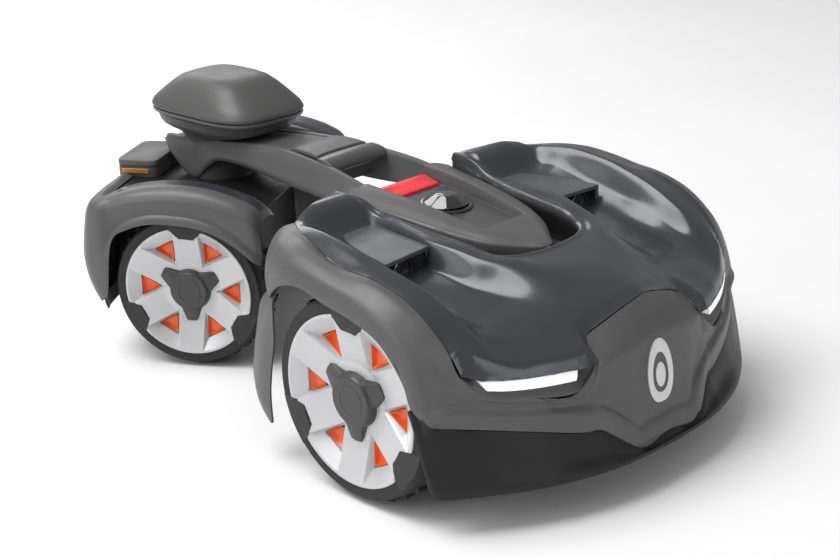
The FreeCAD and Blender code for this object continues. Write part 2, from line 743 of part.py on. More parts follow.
def gear(label, teeth, bore, place):
    thick = size("gear_thick")
    blank = Part.Face(gear_wire(teeth)).extrude(Vector(0, 0, thick))
    blank = blank.cut(Part.makeCylinder(bore, thick))
    solid(label, blank).Placement = place


def steering():
    """The fixed gear on the pivot shaft, and the rear body's motor whose pinion runs round it."""
    steer, low = size("rest_steer"), size("gear_low")
    spacing = size("gear_module") * (size("gear_teeth") + size("pinion_teeth")) / 2
    toward = 90 + steer
    gear("steering_gear", size("gear_teeth"), size("pivot_radius"),
         at(y=PIVOT_Y, z=low, turn=FreeCAD.Rotation(Z_AXIS, toward)))
    half_tooth = 180 / size("pinion_teeth")
    pinion_turn = toward + 180 - half_tooth
    direction = math.radians(toward)
    pinion_at = at(spacing * math.cos(direction), PIVOT_Y + spacing * math.sin(direction), low,
                   FreeCAD.Rotation(Z_AXIS, pinion_turn))
    gear("steering_pinion", size("pinion_teeth"), 4 + size("running_gap"), pinion_at)
    can = drum("steering_can", "0", str(spacing), "112", "gear_low - 4", "17")
    rod = drum("steering_rod", "0", str(spacing), "gear_low - 4", "gear_low + 9", "4")
    group("steering_motor", [fused("steering_drive", [can, rod])]).Placement = REAR


def pivot_shaft():
    post = drum("pivot_post", "0", "0", "pivot_low", "262", "pivot_radius")
    foot = drum("pivot_foot", "0", "0", "pivot_low", "gear_low", "pivot_radius + 5")
    group("pivot_shaft", [fused("pivot_stem", [post, foot])]).Placement = at(y=PIVOT_Y)


def chassis_screws():
    """Screws sunk in the four corners of the tray's belly."""
    screws = []
    for i in ("", "-"):
        for j in ("", "-"):
            item = drum("belly_screw", f"{i}belly_x", f"{j}belly_y", "tray_low + 0.6",
                        "tray_low + wall + 1.5", "belly_radius")
            screws.append(item)
    group("belly_screws", screws).Placement = FRONT


# ---------------------------------------------------------------- the whole machine

front_chassis()
battery_pack()
lift_gear()
deck_carriage()
cutting_motor()
blade_disc()
blade_screws()
for blade_number in range(int(size("blade_count"))):
    blade(blade_number)
skid_plate()
chassis_screws()
wheel_motors("front_wheel_motors", "front", "134", "tray_half - 4", "30", FRONT)
wheel("front_right", "front", -1, FRONT)
wheel("front_left", "front", 1, FRONT)
front_covers()
headlights()
ultrasonic_sensors()
front_mud_flaps()
arm_frame()
console_cover()
display_panel()
knob_parts()
stop_button()
carry_handle()
arm_rear_cover()
antenna()
pivot_shaft()
rear_chassis()
rear_covers()
rear_box()
steering()
wheel_motors("rear_wheel_motors", "rear", "66", "deck_half - 4", "27", REAR)
wheel("rear_right", "rear", -1, REAR)
wheel("rear_left", "rear", 1, REAR)

doc.recompute()
failed = [f"{o.Label}: {o.State}" for o in doc.Objects
          if "Invalid" in o.State or "Error" in o.State]
for item in subparts:
    if item.Shape.isNull() or not item.Shape.isValid() or not item.Shape.Solids:
        failed.append(f"{item.Label}: its shape isn't a valid solid")
if failed:
    raise RuntimeError("; ".join(failed))

os.makedirs("parts", exist_ok=True)
for item in subparts:
    item.Shape.exportStep(f"parts/{item.Label}.step")
print(len(subparts), "sub-parts written")
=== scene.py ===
import math

import bpy
import bmesh
import numpy as np
from mathutils import Matrix, Vector


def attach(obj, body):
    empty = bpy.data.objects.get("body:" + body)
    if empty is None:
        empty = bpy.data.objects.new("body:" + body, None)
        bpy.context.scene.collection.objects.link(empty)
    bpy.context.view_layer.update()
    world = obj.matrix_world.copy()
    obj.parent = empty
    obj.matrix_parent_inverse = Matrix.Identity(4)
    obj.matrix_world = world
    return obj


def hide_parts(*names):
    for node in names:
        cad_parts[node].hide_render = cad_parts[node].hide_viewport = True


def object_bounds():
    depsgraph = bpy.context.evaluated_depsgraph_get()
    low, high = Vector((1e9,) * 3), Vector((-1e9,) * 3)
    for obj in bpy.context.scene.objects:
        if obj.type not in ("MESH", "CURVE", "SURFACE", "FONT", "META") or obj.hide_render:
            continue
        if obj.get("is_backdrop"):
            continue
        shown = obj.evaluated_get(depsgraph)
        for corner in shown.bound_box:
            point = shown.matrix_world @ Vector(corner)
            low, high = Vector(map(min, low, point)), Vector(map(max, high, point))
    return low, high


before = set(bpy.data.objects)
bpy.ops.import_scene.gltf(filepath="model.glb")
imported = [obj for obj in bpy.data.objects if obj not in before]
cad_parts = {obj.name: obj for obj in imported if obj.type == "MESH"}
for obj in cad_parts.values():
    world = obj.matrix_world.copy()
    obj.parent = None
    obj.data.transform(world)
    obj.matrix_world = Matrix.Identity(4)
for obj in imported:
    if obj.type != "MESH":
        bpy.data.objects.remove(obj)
CAD_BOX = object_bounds()

# Lengths below are in millimetres. Front pieces are measured from the front axle line (y = 0, nose
# towards -y), rear pieces from the steering pivot, and both from the ground up.
AXLE_Y = -262.0
PIVOT_Y = 547.0
STEER = math.radians(30.5)


def front(p):
    p = np.asarray(p, float)
    return np.stack([p[..., 0], p[..., 1] + AXLE_Y, p[..., 2]], -1) / 1000


def rear(p):
    p = np.asarray(p, float)
    c, s = math.cos(STEER), math.sin(STEER)
    x = p[..., 0] * c - p[..., 1] * s
    y = PIVOT_Y + AXLE_Y + p[..., 0] * s + p[..., 1] * c
    return np.stack([x, y, p[..., 2]], -1) / 1000


def over_pivot(p):
    p = np.asarray(p, float)
    return np.stack([p[..., 0], p[..., 1] + PIVOT_Y + AXLE_Y, p[..., 2]], -1) / 1000


def spot(place, x, y, z):
    return tuple(place(np.array([x, y, z], float)))


# ---------------------------------------------------------------- curves and nets

def ticks(t, step):
    """Sample values over the knots t, with every knot among them and steps of about that size."""
    out = [t[0]]
    for a, b in zip(t, t[1:]):
        out += list(np.linspace(a, b, max(1, int(math.ceil((b - a) / step))) + 1)[1:])
    return np.array(out)


def knots(p):
    """Knots along the first axis, from the mean distance between one row of points and the next."""
    d = np.linalg.norm(np.diff(p, axis=0), axis=-1)
    if d.ndim > 1:
        d = d.mean(axis=1)
    return np.concatenate([[0], np.cumsum(np.maximum(d, 1e-6))])


def hermite(p, t, q):
    """A smooth curve through the points p at the knots t, sampled at q."""
    dt = np.diff(t)
    shape = (-1,) + (1,) * (p.ndim - 1)
    slope = np.diff(p, axis=0) / dt.reshape(shape)
    m = np.zeros_like(p)
    m[0], m[-1] = slope[0], slope[-1]
    if len(t) > 2:
        a, b = dt[:-1].reshape(shape), dt[1:].reshape(shape)
        m[1:-1] = (slope[:-1] * b + slope[1:] * a) / (a + b)
    i = np.clip(np.searchsorted(t, q, side="right") - 1, 0, len(dt) - 1)
    h = dt[i].reshape(shape)
    s = ((q - t[i]) / dt[i]).reshape(shape)
    return ((2 * s**3 - 3 * s**2 + 1) * p[i] + (s**3 - 2 * s**2 + s) * h * m[i]
            + (3 * s**2 - 2 * s**3) * p[i + 1] + (s**3 - s**2) * h * m[i + 1])


def path(points, step=4.0):
    p = np.array(points, float)
    t = knots(p)
    return hermite(p, t, ticks(t, step))


def evenly(points, count):
    """The smooth curve through the points, as count points at equal distances."""
    p = path(points, 2.0)
    t = knots(p)
    q = np.linspace(0, t[-1], count)
    return np.stack([np.interp(q, t, p[:, k]) for k in range(p.shape[1])], -1)


def net(table, step_u=6.0, step_v=3.0):
    """A smooth surface through a table of stations, each a list of as many points."""
    p = np.array(table, float)
    u = knots(p)
    p = hermite(p, u, ticks(u, step_u))
    p = p.transpose(1, 0, 2)
    v = knots(p)
    return hermite(p, v, ticks(v, step_v))


def coons(bottom, top, left, right):
    """A patch between four boundary curves. bottom and top run from left to right."""
    nu, nv = len(bottom), len(left)
    s = np.linspace(0, 1, nu)[None, :, None]
    t = np.linspace(0, 1, nv)[:, None, None]
    ruled_v = (1 - t) * bottom[None] + t * top[None]
    ruled_u = (1 - s) * left[:, None] + s * right[:, None]
    corners = ((1 - s) * (1 - t) * bottom[0] + s * (1 - t) * bottom[-1]
               + (1 - s) * t * top[0] + s * t * top[-1])
    return ruled_v + ruled_u - corners


def circle(count):
    return np.linspace(0, math.tau, count + 1)[:-1]


def smooth(x, low, high):
    t = np.clip((x - low) / (high - low), 0, 1)
    return t * t * (3 - 2 * t)


def hump(x, middle, width):
    return np.exp(-((x - middle) / width) ** 2)


# ---------------------------------------------------------------- meshes

class Build:
    """Collects the faces of one piece, in metres."""

    def __init__(self):
        self.points, self.faces = [], []

    def add(self, points, faces):
        base = len(self.points)
        self.points += [tuple(p) for p in np.asarray(points, float).reshape(-1, 3)]
        self.faces += [tuple(base + i for i in f) for f in faces]
        return self

    def grid(self, p, wrap=False, keep=None):
        """Quads over a table of points. wrap joins the last column to the first."""
        rows, cols = p.shape[:2]
        faces = []
        for i in range(rows - 1):
            for j in range(cols if wrap else cols - 1):
                k = (j + 1) % cols
                if keep is None or keep[i, j]:
                    faces.append((i * cols + j, i * cols + k, (i + 1) * cols + k, (i + 1) * cols + j))
        return self.add(p, faces)

    def block(self, outline, low, high, place=front):
        """An upright prism. low and high are heights, or functions of x and y."""
        ring = np.asarray(outline, float)
        count = len(ring)
        heights = [np.array([h(x, y) if callable(h) else h for x, y in ring]) for h in (low, high)]
        faces = [tuple(range(count))[::-1], tuple(range(count, 2 * count))]
        faces += [(i, (i + 1) % count, count + (i + 1) % count, count + i) for i in range(count)]
        return self.add(place(np.concatenate([np.column_stack([ring, h]) for h in heights])), faces)

    def mirrored(self):
        """Adds the copy on the other side of the front body's middle plane."""
        count = len(self.points)
        self.points += [(-x, y, z) for x, y, z in self.points]
        self.faces += [tuple(count + i for i in reversed(f)) for f in self.faces]
        return self

    def mirrored_rear(self):
        """Adds the copy on the other side of the rear body's own middle plane."""
        c, s = math.cos(STEER), math.sin(STEER)
        origin_y = (PIVOT_Y + AXLE_Y) / 1000
        p = np.array(self.points)
        x = p[:, 0] * c + (p[:, 1] - origin_y) * s
        y = -p[:, 0] * s + (p[:, 1] - origin_y) * c
        count = len(self.points)
        self.points += [tuple(v) for v in rear(np.stack([-x, y, p[:, 2]], -1) * 1000)]
        self.faces += [tuple(count + i for i in reversed(f)) for f in self.faces]
        return self

    def make(self, name, outward=None, merge=2e-5):
        """The finished mesh object. Faces look away from outward, or by their own volume without it."""
        mesh = bpy.data.meshes.new(name)
        mesh.from_pydata(self.points, [], self.faces)
        work = bmesh.new()
        work.from_mesh(mesh)
        bmesh.ops.remove_doubles(work, verts=work.verts, dist=merge)
        bmesh.ops.dissolve_degenerate(work, dist=1e-7, edges=work.edges)
        if outward is None:
            bmesh.ops.recalc_face_normals(work, faces=work.faces)
        else:
            inside = Vector(outward)
            for group in islands(work):
                facing = sum(f.normal.dot(f.calc_center_median() - inside) * f.calc_area() for f in group)
                if facing < 0:
                    bmesh.ops.reverse_faces(work, faces=group)
        work.to_mesh(mesh)
        work.free()
        obj = bpy.data.objects.new(name, mesh)
        bpy.context.scene.collection.objects.link(obj)
        return obj


def islands(work):
    """The groups of faces that hang together."""
    work.faces.ensure_lookup_table()
    seen, groups = set(), []
    for start in work.faces:
        if start.index in seen:
            continue
        seen.add(start.index)
        group, todo = [], [start]
        while todo:
            face = todo.pop()
            group.append(face)
            for edge in face.edges:
                for other in edge.link_faces:
                    if other.index not in seen:
                        seen.add(other.index)
                        todo.append(other)
        groups.append(group)
    return groups


def dress(obj, body, material, nodes=(), thick=0.0, bevel=0.0, angle=40, segments=2):
    """Thickens and bevels a piece, gives it its material and its body, and hides the CAD nodes it stands for.
    """
    mesh = obj.data
    mesh.materials.append(material)
    mesh.shade_smooth()
    mesh.set_sharp_from_angle(angle=math.radians(angle))
    if thick:
        wall = obj.modifiers.new("wall", "SOLIDIFY")
        wall.thickness, wall.offset = thick / 1000, -1
        wall.use_even_offset = False
    if bevel:
        edge = obj.modifiers.new("edges", "BEVEL")
        edge.width, edge.segments = bevel / 1000, segments
        edge.limit_method, edge.angle_limit = "ANGLE", math.radians(angle)
        edge.harden_normals = True
        edge.miter_outer = "MITER_ARC"
    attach(obj, body)
    if nodes:
        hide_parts(*nodes)
    return obj


def rounded(corners, radius, steps=5):
    """A closed outline with its corners rounded."""
    pts = [np.array(c, float) for c in corners]
    out = []
    for i, c in enumerate(pts):
        a, b = pts[i - 1] - c, pts[(i + 1) % len(pts)] - c
        la, lb = np.linalg.norm(a), np.linalg.norm(b)
        r = min(radius, la * 0.45, lb * 0.45)
        p, q = c + a / la * r, c + b / lb * r
        for k in range(steps + 1):
            t = k / steps
            out.append((1 - t) ** 2 * p + 2 * t * (1 - t) * c + t * t * q)
    return np.array(out)


# ---------------------------------------------------------------- materials

class Nodes:
    """A short way to add nodes to one material's tree."""

    def __init__(self, name):
        self.material = bpy.data.materials.new(name)
        self.material.use_nodes = True
        self.tree = self.material.node_tree
        self.shader = self.tree.nodes["Principled BSDF"]
        self.where = self.tree.nodes.new("ShaderNodeTexCoord").outputs["Object"]

    def new(self, kind, **sockets):
        node = self.tree.nodes.new("ShaderNode" + kind)
        for name, value in sockets.items():
            self.set(node.inputs[name.replace("_", " ")], value)
        return node

    def set(self, socket, value):
        if isinstance(value, bpy.types.NodeSocket):
            self.tree.links.new(value, socket)
        else:
            socket.default_value = value

    def noise(self, scale, detail=3.0, rough=0.5, stretch=None):
        vector = self.where
        if stretch:
            move = self.new("Mapping")
            move.inputs["Scale"].default_value = stretch
            self.set(move.inputs["Vector"], vector)
            vector = move.outputs["Vector"]
        return self.new("TexNoise", Vector=vector, Scale=scale, Detail=detail, Roughness=rough).outputs["Fac"]

    def spread(self, value, low, high, start=0.3, end=0.7):
        node = self.new("MapRange", Value=value)
        for key, number in (("From Min", start), ("From Max", end), ("To Min", low), ("To Max", high)):
            node.inputs[key].default_value = number
        return node.outputs["Result"]

    def mix(self, factor, a, b):
        node = self.tree.nodes.new("ShaderNodeMix")
        node.data_type = "RGBA"
        self.set(node.inputs[0], factor)
        for socket, colour in ((node.inputs[6], a), (node.inputs[7], b)):
            self.set(socket, colour if isinstance(colour, bpy.types.NodeSocket) else (*colour, 1))
        return node.outputs[2]

    def surface(self, colour, rough, normal=None, **numbers):
        """Links the shader's colour, roughness and normal, and sets its plain numbers."""
        for name, value in (("Base Color", colour), ("Roughness", rough), ("Normal", normal)):
            if value is not None:
                self.set(self.shader.inputs[name], value)
        for name, value in numbers.items():
            self.shader.inputs[name.replace("_", " ")].default_value = value
        return self.material

    def bump(self, height, strength, distance, normal=None):
        node = self.new("Bump", Strength=strength, Distance=distance, Height=height)
        if normal is not None:
            self.set(node.inputs["Normal"], normal)
        return node.outputs["Normal"]


def moulded(name, colour, rough, grain=900.0, depth=0.25, coat=0.0, coat_rough=0.1, metallic=0.0,
            swing=0.05, specular=0.5, flake=0.0, dust=0.0):
    """Moulded plastic or rubber: mottled colour, uneven gloss and a fine spark-eroded grain."""
    n = Nodes(name)
    broad = n.noise(9.0, 4.0, 0.6)
    fine = n.noise(grain, 2.0, 0.6)
    light = tuple(min(1.0, c * 1.07) for c in colour)
    dark = tuple(c * 0.93 for c in colour)
    tint = n.mix(n.spread(broad, 0.0, 1.0), dark, light)
    if flake:
        sparkle = n.spread(n.noise(grain * 1.6, 1.0, 0.4), 0.0, flake, 0.55, 0.75)
        tint = n.mix(sparkle, tint, tuple(min(1.0, c * 1.25 + 0.04) for c in colour))
    if dust:
        speck = n.spread(n.noise(170.0, 5.0, 0.7), 0.0, dust, 0.52, 0.8)
        tint = n.mix(speck, tint, (0.16, 0.15, 0.13))
    gloss = n.spread(n.noise(55.0, 5.0, 0.65), rough - swing, rough + swing)
    wave = n.bump(n.noise(14.0, 1.0, 0.4), 0.05, 0.0006)
    return n.surface(tint, gloss, n.bump(fine, depth, 0.00018, wave), Metallic=metallic,
                     Specular_IOR_Level=specular, Coat_Weight=coat, Coat_Roughness=coat_rough)


def brushed(name, colour, rough, stretch=(1.0, 1.0, 30.0)):
    """Machined or drawn metal with fine lines and slight stains."""
    n = Nodes(name)
    lines = n.noise(260.0, 3.0, 0.6, stretch)
    stain = n.noise(14.0, 5.0, 0.6)
    tint = n.mix(n.spread(stain, 0.0, 1.0), tuple(c * 0.86 for c in colour), colour)
    return n.surface(tint, n.spread(lines, rough - 0.07, rough + 0.09), n.bump(lines, 0.18, 0.0002),
        Metallic=1.0)


def clear_lens(name):
    """A frosted light guide: milky, with fine upright flutes."""
    n = Nodes(name)
    flutes = n.new("TexWave", Vector=n.where, Scale=120.0, Distortion=0.4, Detail=1.0)
    flutes.bands_direction = "X"
    haze = n.noise(60.0, 4.0, 0.6)
    milk = n.mix(n.spread(haze, 0.0, 1.0), (0.86, 0.88, 0.9), (0.97, 0.98, 1.0))
    return n.surface(milk, n.spread(haze, 0.12, 0.25), n.bump(flutes.outputs["Fac"], 0.25, 0.0004),
                     Coat_Weight=0.6, Emission_Color=(0.95, 0.97, 1.0, 1), Emission_Strength=0.35)


def concrete(name):
    """A pale, slightly clouded floor."""
    n = Nodes(name)
    cloud = n.mix(n.spread(n.noise(1.3, 4.0, 0.5), 0.0, 1.0), (0.87, 0.87, 0.875), (0.9, 0.9, 0.9))
    return n.surface(cloud, n.spread(n.noise(30.0), 0.5, 0.6), Specular_IOR_Level=0.3)


M = {
    "hood": moulded("hood_gloss_slate", (0.030, 0.033, 0.040), 0.30, 1400.0, 0.02, coat=0.35, coat_rough=0.12,
        swing=0.03),
    "shell": moulded("shell_satin_grey", (0.085, 0.085, 0.086), 0.42, 1400.0, 0.10),
    "roof": moulded("pod_roof_grey", (0.072, 0.074, 0.079), 0.40, 1200.0, 0.08),
    "plate": moulded("nose_fine_texture", (0.070, 0.070, 0.069), 0.45, 1000.0, 0.25),
    "skirt": moulded("skirt_matt_black", (0.012, 0.012, 0.013), 0.46, 900.0, 0.25, dust=0.015, specular=0.3),
    "chassis": moulded("chassis_black", (0.009, 0.009, 0.010), 0.5, 700.0, 0.3, dust=0.02, specular=0.25),
    "tyre": moulded("tyre_rubber", (0.024, 0.024, 0.025), 0.60, 600.0, 0.3, dust=0.04, specular=0.3),
    "tongue": moulded("tyre_insert", (0.028, 0.028, 0.029), 0.52, 800.0, 0.2, dust=0.02, specular=0.35),
    "rim": moulded("rim_silver_paint", (0.55, 0.55, 0.56), 0.38, 1200.0, 0.06, coat=0.25, metallic=0.35,
        flake=0.35),
    "orange": moulded("window_orange", (0.86, 0.115, 0.010), 0.34, 700.0, 0.05, coat=0.4),
    "cap": moulded("cap_dark_satin", (0.042, 0.042, 0.044), 0.38, 1000.0, 0.12),
    "black": moulded("gloss_black", (0.012, 0.012, 0.013), 0.16, 900.0, 0.03, coat=0.9, coat_rough=0.04),
    "panel": moulded("panel_dark_satin", (0.055, 0.055, 0.057), 0.38, 900.0, 0.1, coat=0.2),
    "red": moulded("stop_red", (0.83, 0.035, 0.050), 0.38, 800.0, 0.08, coat=0.3),
    "amber": moulded("amber_trim", (0.42, 0.16, 0.03), 0.3, 700.0, 0.1, coat=0.4),
    "emblem": moulded("emblem_silver", (0.68, 0.69, 0.68), 0.34, 1100.0, 0.05, metallic=0.5, flake=0.3),
    "lens": clear_lens("headlight_lens"),
    "steel": brushed("machined_steel", (0.58, 0.58, 0.57), 0.32),
    "can": brushed("drawn_can", (0.50, 0.51, 0.53), 0.38, (30.0, 1.0, 1.0)),
    "battery": moulded("battery_wrap", (0.03, 0.06, 0.12), 0.35, 400.0, 0.15, coat=0.3),
    "floor": concrete("floor_pale"),
}


# ---------------------------------------------------------------- wheels

def wheel_map(base, side, face_x, axle_y, radius, scale):
    """Takes (r, angle, w) in front-wheel millimetres to the row frame. w is outward from the rim's face."""
    def place(r, angle, w):
        x = side * (face_x + w * scale)
        return base(np.stack(np.broadcast_arrays(
            x, axle_y + r * scale * np.cos(angle), radius + r * scale * np.sin(angle)), -1))
    return place


def nearest(angle, first, count):
    """The angle from the nearest of count directions that start at first, in radians."""
    pitch = math.tau / count
    return (angle - first + pitch / 2) % pitch - pitch / 2


WINDOW_AT, TONGUE_AT, LOBE_AT = math.radians(2), math.radians(92.5), math.radians(32)


def spoke_dish(r):
    return 12.5 * np.clip((96.0 - r) / 52.0, 0, 1) ** 1.05


def window_depth(r, angle):
    """How deep the pocket around each window goes, or less than the dish where there is none."""
    rel = nearest(angle, WINDOW_AT, 6)
    u, v = r * np.cos(rel), np.abs(r * np.sin(rel))
    side = (3.0 + (u - 46.0) * 0.60 - v) * 0.857
    depth = np.minimum(spoke_dish(r) + 2.3 * side, 0.72 * (95.5 - r))
    return np.where((side > 0) & (r < 95.5), depth, 0.0)


def rim_face(r, angle):
    depth = np.maximum(spoke_dish(r), np.minimum(window_depth(r, angle), 15.0))
    rel = nearest(angle, WINDOW_AT, 6)
    u, v = r * np.cos(rel), np.abs(r * np.sin(rel))
    inside = np.minimum(77.6 - u, (1.6 + (u - 50.0) * 0.52 - v) * 0.887)
    depth = np.maximum(depth, np.where(inside > 0, 15.0 + np.clip(inside, 0, 1.0) * 9.0, 0.0))
    rel = nearest(angle, TONGUE_AT, 3)
    u, v = r * np.cos(rel), np.abs(r * np.sin(rel))
    notch = np.minimum(u - 81.0, (11.0 + (u - 81.0) - v) * 0.707)
    depth = np.maximum(depth, np.clip(notch * 5.0, 0, 10.0) * (notch > 0))
    lip = np.clip((r - 97.0) / 1.8, 0, 1)
    return -(depth + 0.9 * lip**2)


def make_wheel(name, base, side, face_x, axle_y, radius, rim_radius, width):
    scale = rim_radius / 98.8
    place = wheel_map(base, side, face_x, axle_y, radius, scale)
    body = "wheel_" + name
    middle = spot(base, side * (face_x - width / 2), axle_y, radius)
    wide = width / scale
    angles = circle(360)

    def lathe(build, profile, count=180):
        a = circle(count)
        rows = [place(r + 0 * a, a, w + 0 * a) for r, w in profile]
        return build.grid(np.array(rows), wrap=True)

    rim = Build()
    radii = np.concatenate([np.linspace(19.0, 44.0, 12), np.arange(45.0, 98.9, 0.9), [98.8]])
    r, a = np.meshgrid(radii, angles, indexing="ij")
    rim.grid(place(r, a, rim_face(r, a)), wrap=True)
    lathe(rim, [(98.8, -0.9), (98.8, -4), (97.5, -8), (97.5, -wide + 5), (94, -wide + 3), (92, -wide + 6),
                (90, -34), (60, -31), (30, -30), (22, -34), (19, -34), (19, -12.5)])
    dress(rim.make(f"rim_skin_{name}"), body, M["rim"], [f"rim_{name}"], angle=28)

    glass = Build()
    for k in range(6):
        first = WINDOW_AT + k * math.tau / 6
        rows = []
        for w, inset in ((-14.2, 0.0), (-15.2, 0.5), (-19.5, 3.4), (-20.0, 4.4)):
            ring = []
            for u, v in rounded([(50.0 + inset * 1.5, 1.4), (76.2 - inset, 15.0 - inset * 0.75),
                                 (77.4 - inset, 0.0), (76.2 - inset, -15.0 + inset * 0.75),
                                 (50.0 + inset * 1.5, -1.4)], 2.6, 3):
                ring.append((math.hypot(u, v), first + math.atan2(v, u), w))
            rows.append(ring)
        rows.append([(66.0, first, -20.0)] * len(rows[0]))
        ring = np.array(rows)
        glass.grid(place(ring[..., 0], ring[..., 1], ring[..., 2]), wrap=True)
    hub_middle = spot(base, side * (face_x - 60), axle_y, radius)
    dress(glass.make(f"window_glass_{name}", hub_middle), body, M["orange"],
          [f"window_insert_{name}"], angle=30)

    tyre = Build()
    lathe(tyre, [(98.9, -6), (98.9, -3.0), (99.8, -2.2), (111.0, -2.2), (113.4, -4.2), (114.8, -9.0),
        (115.6, -15.0),
                 (116.2, -20), (116.6, -27), (117.0, -wide / 2), (116.8, -wide + 12), (115.6, -wide + 5),
                  (112.0, -wide + 1),
                 (103.0, -wide + 0.6), (98.9, -wide + 3), (98.2, -wide / 2), (98.9, -6)])
    count = 30
    for row, (w_low, w_high) in enumerate(((-34.0, -19.5), (-50.0, -36.0), (-wide + 9.0, -52.0))):
        for k in range(count):
            at = (k + (0.5 if row % 2 else 0.0)) * math.tau / count
            half = 5.2 / 118.5
            points, top = [], 120.4
            for low in (True, False):
                rr, cut = (115.5, 0.0) if low else (top, 1.2)
                h = half - (0.0 if low else 1.3 / 118.5)
                for da, w in ((-h, w_low + cut), (h, w_low + cut), (h, w_high - cut), (-h, w_high - cut)):
                    points.append(place(np.float64(rr), np.float64(at + da), np.float64(w)))
            tyre.add(points, [(0, 1, 2, 3), (4, 7, 6, 5), (0, 4, 5, 1), (1, 5, 6, 2), (2, 6, 7, 3),
                (3, 7, 4, 0)])
    dress(tyre.make(f"tyre_skin_{name}"), body, M["tyre"], [f"tyre_{name}"], angle=35)

    tongues = Build()
    for k in range(3):
        first = TONGUE_AT + k * math.tau / 3
        outline = [(82.0, 7.2), (89.5, 11.8), (95.8, 14.1), (98.6, 14.6), (104.0, 15.2), (111.4, 16.0)]
        edge = [(r, math.radians(d)) for r, d in outline]
        rows = []
        for w, inset in ((-12.0, 0.0), (-1.9, 0.0), (-1.2, 0.8)):
            rows.append([(r - (inset if r > 100 else 0) + (inset if r < 83 else 0),
                [-(d - inset / r), (d - inset / r)], w)
                         for r, d in edge])
        for (low, high) in zip(rows, rows[1:]):
            for sign in (0, 1):
                strip = [[(r, first + d[sign], w) for r, d, w in line] for line in (low, high)]
                s = np.array(strip)
                tongues.grid(place(s[..., 0], s[..., 1], s[..., 2]))
            for end in (0, -1):
                s = np.array([[(line[end][0], first + f * line[end][1][1], line[end][2])
                               for f in np.linspace(-1, 1, 9)] for line in (low, high)])
                tongues.grid(place(s[..., 0], s[..., 1], s[..., 2]))
        s = np.array([[(r, first + f * d[1], w) for f in np.linspace(-1, 1, 9)] for r, d, w in rows[-1]])
        tongues.grid(place(s[..., 0], s[..., 1], s[..., 2]))
    dress(tongues.make(f"tyre_tongues_{name}", middle), body, M["tongue"], angle=30)

    cap = Build()
    radii = np.concatenate([np.linspace(0.0, 12.0, 5), np.arange(12.6, 53.0, 0.7)])
    r, a = np.meshgrid(radii, circle(240), indexing="ij")
    ring = 0.7 * (smooth(r, 15.0, 15.8) - smooth(r, 18.4, 19.2))
    disc = np.where(r < 27.0, -2.2 + ring, -2.2 - 0.35 * (r - 27.0) ** 2)
    disc = np.where(r > 30.0, -5.35 - (r - 30.0) * 3.6, disc)
    rel = nearest(a, LOBE_AT, 3)
    u, v = r * np.cos(rel), np.abs(r * np.sin(rel))
    half = 15.5 - (u - 22.0) * 0.29
    lobe = -3.6 - 0.20 * np.maximum(u - 21.0, 0) - np.maximum(v - half, 0) * 2.4 - np.maximum(u - 49.0, 0) * 6.0
    lobe -= 0.10 * v
    w = np.maximum(np.maximum(disc, lobe), -20.0)
    cap.grid(place(r, a, w), wrap=True)
    dress(cap.make(f"cap_skin_{name}", middle), body, M["cap"], [f"hub_cap_{name}"], angle=26)


for side, hand in ((-1, "right"), (1, "left")):
    make_wheel("front_" + hand, front, side, 274.0, 0.0, 120.5, 98.8, 72.0)
    make_wheel("rear_" + hand, rear, side, 197.0, -17.5, 106.0, 87.0, 66.0)


# ---------------------------------------------------------------- front body shell

INSIDE = spot(front, 0, 20, 120)

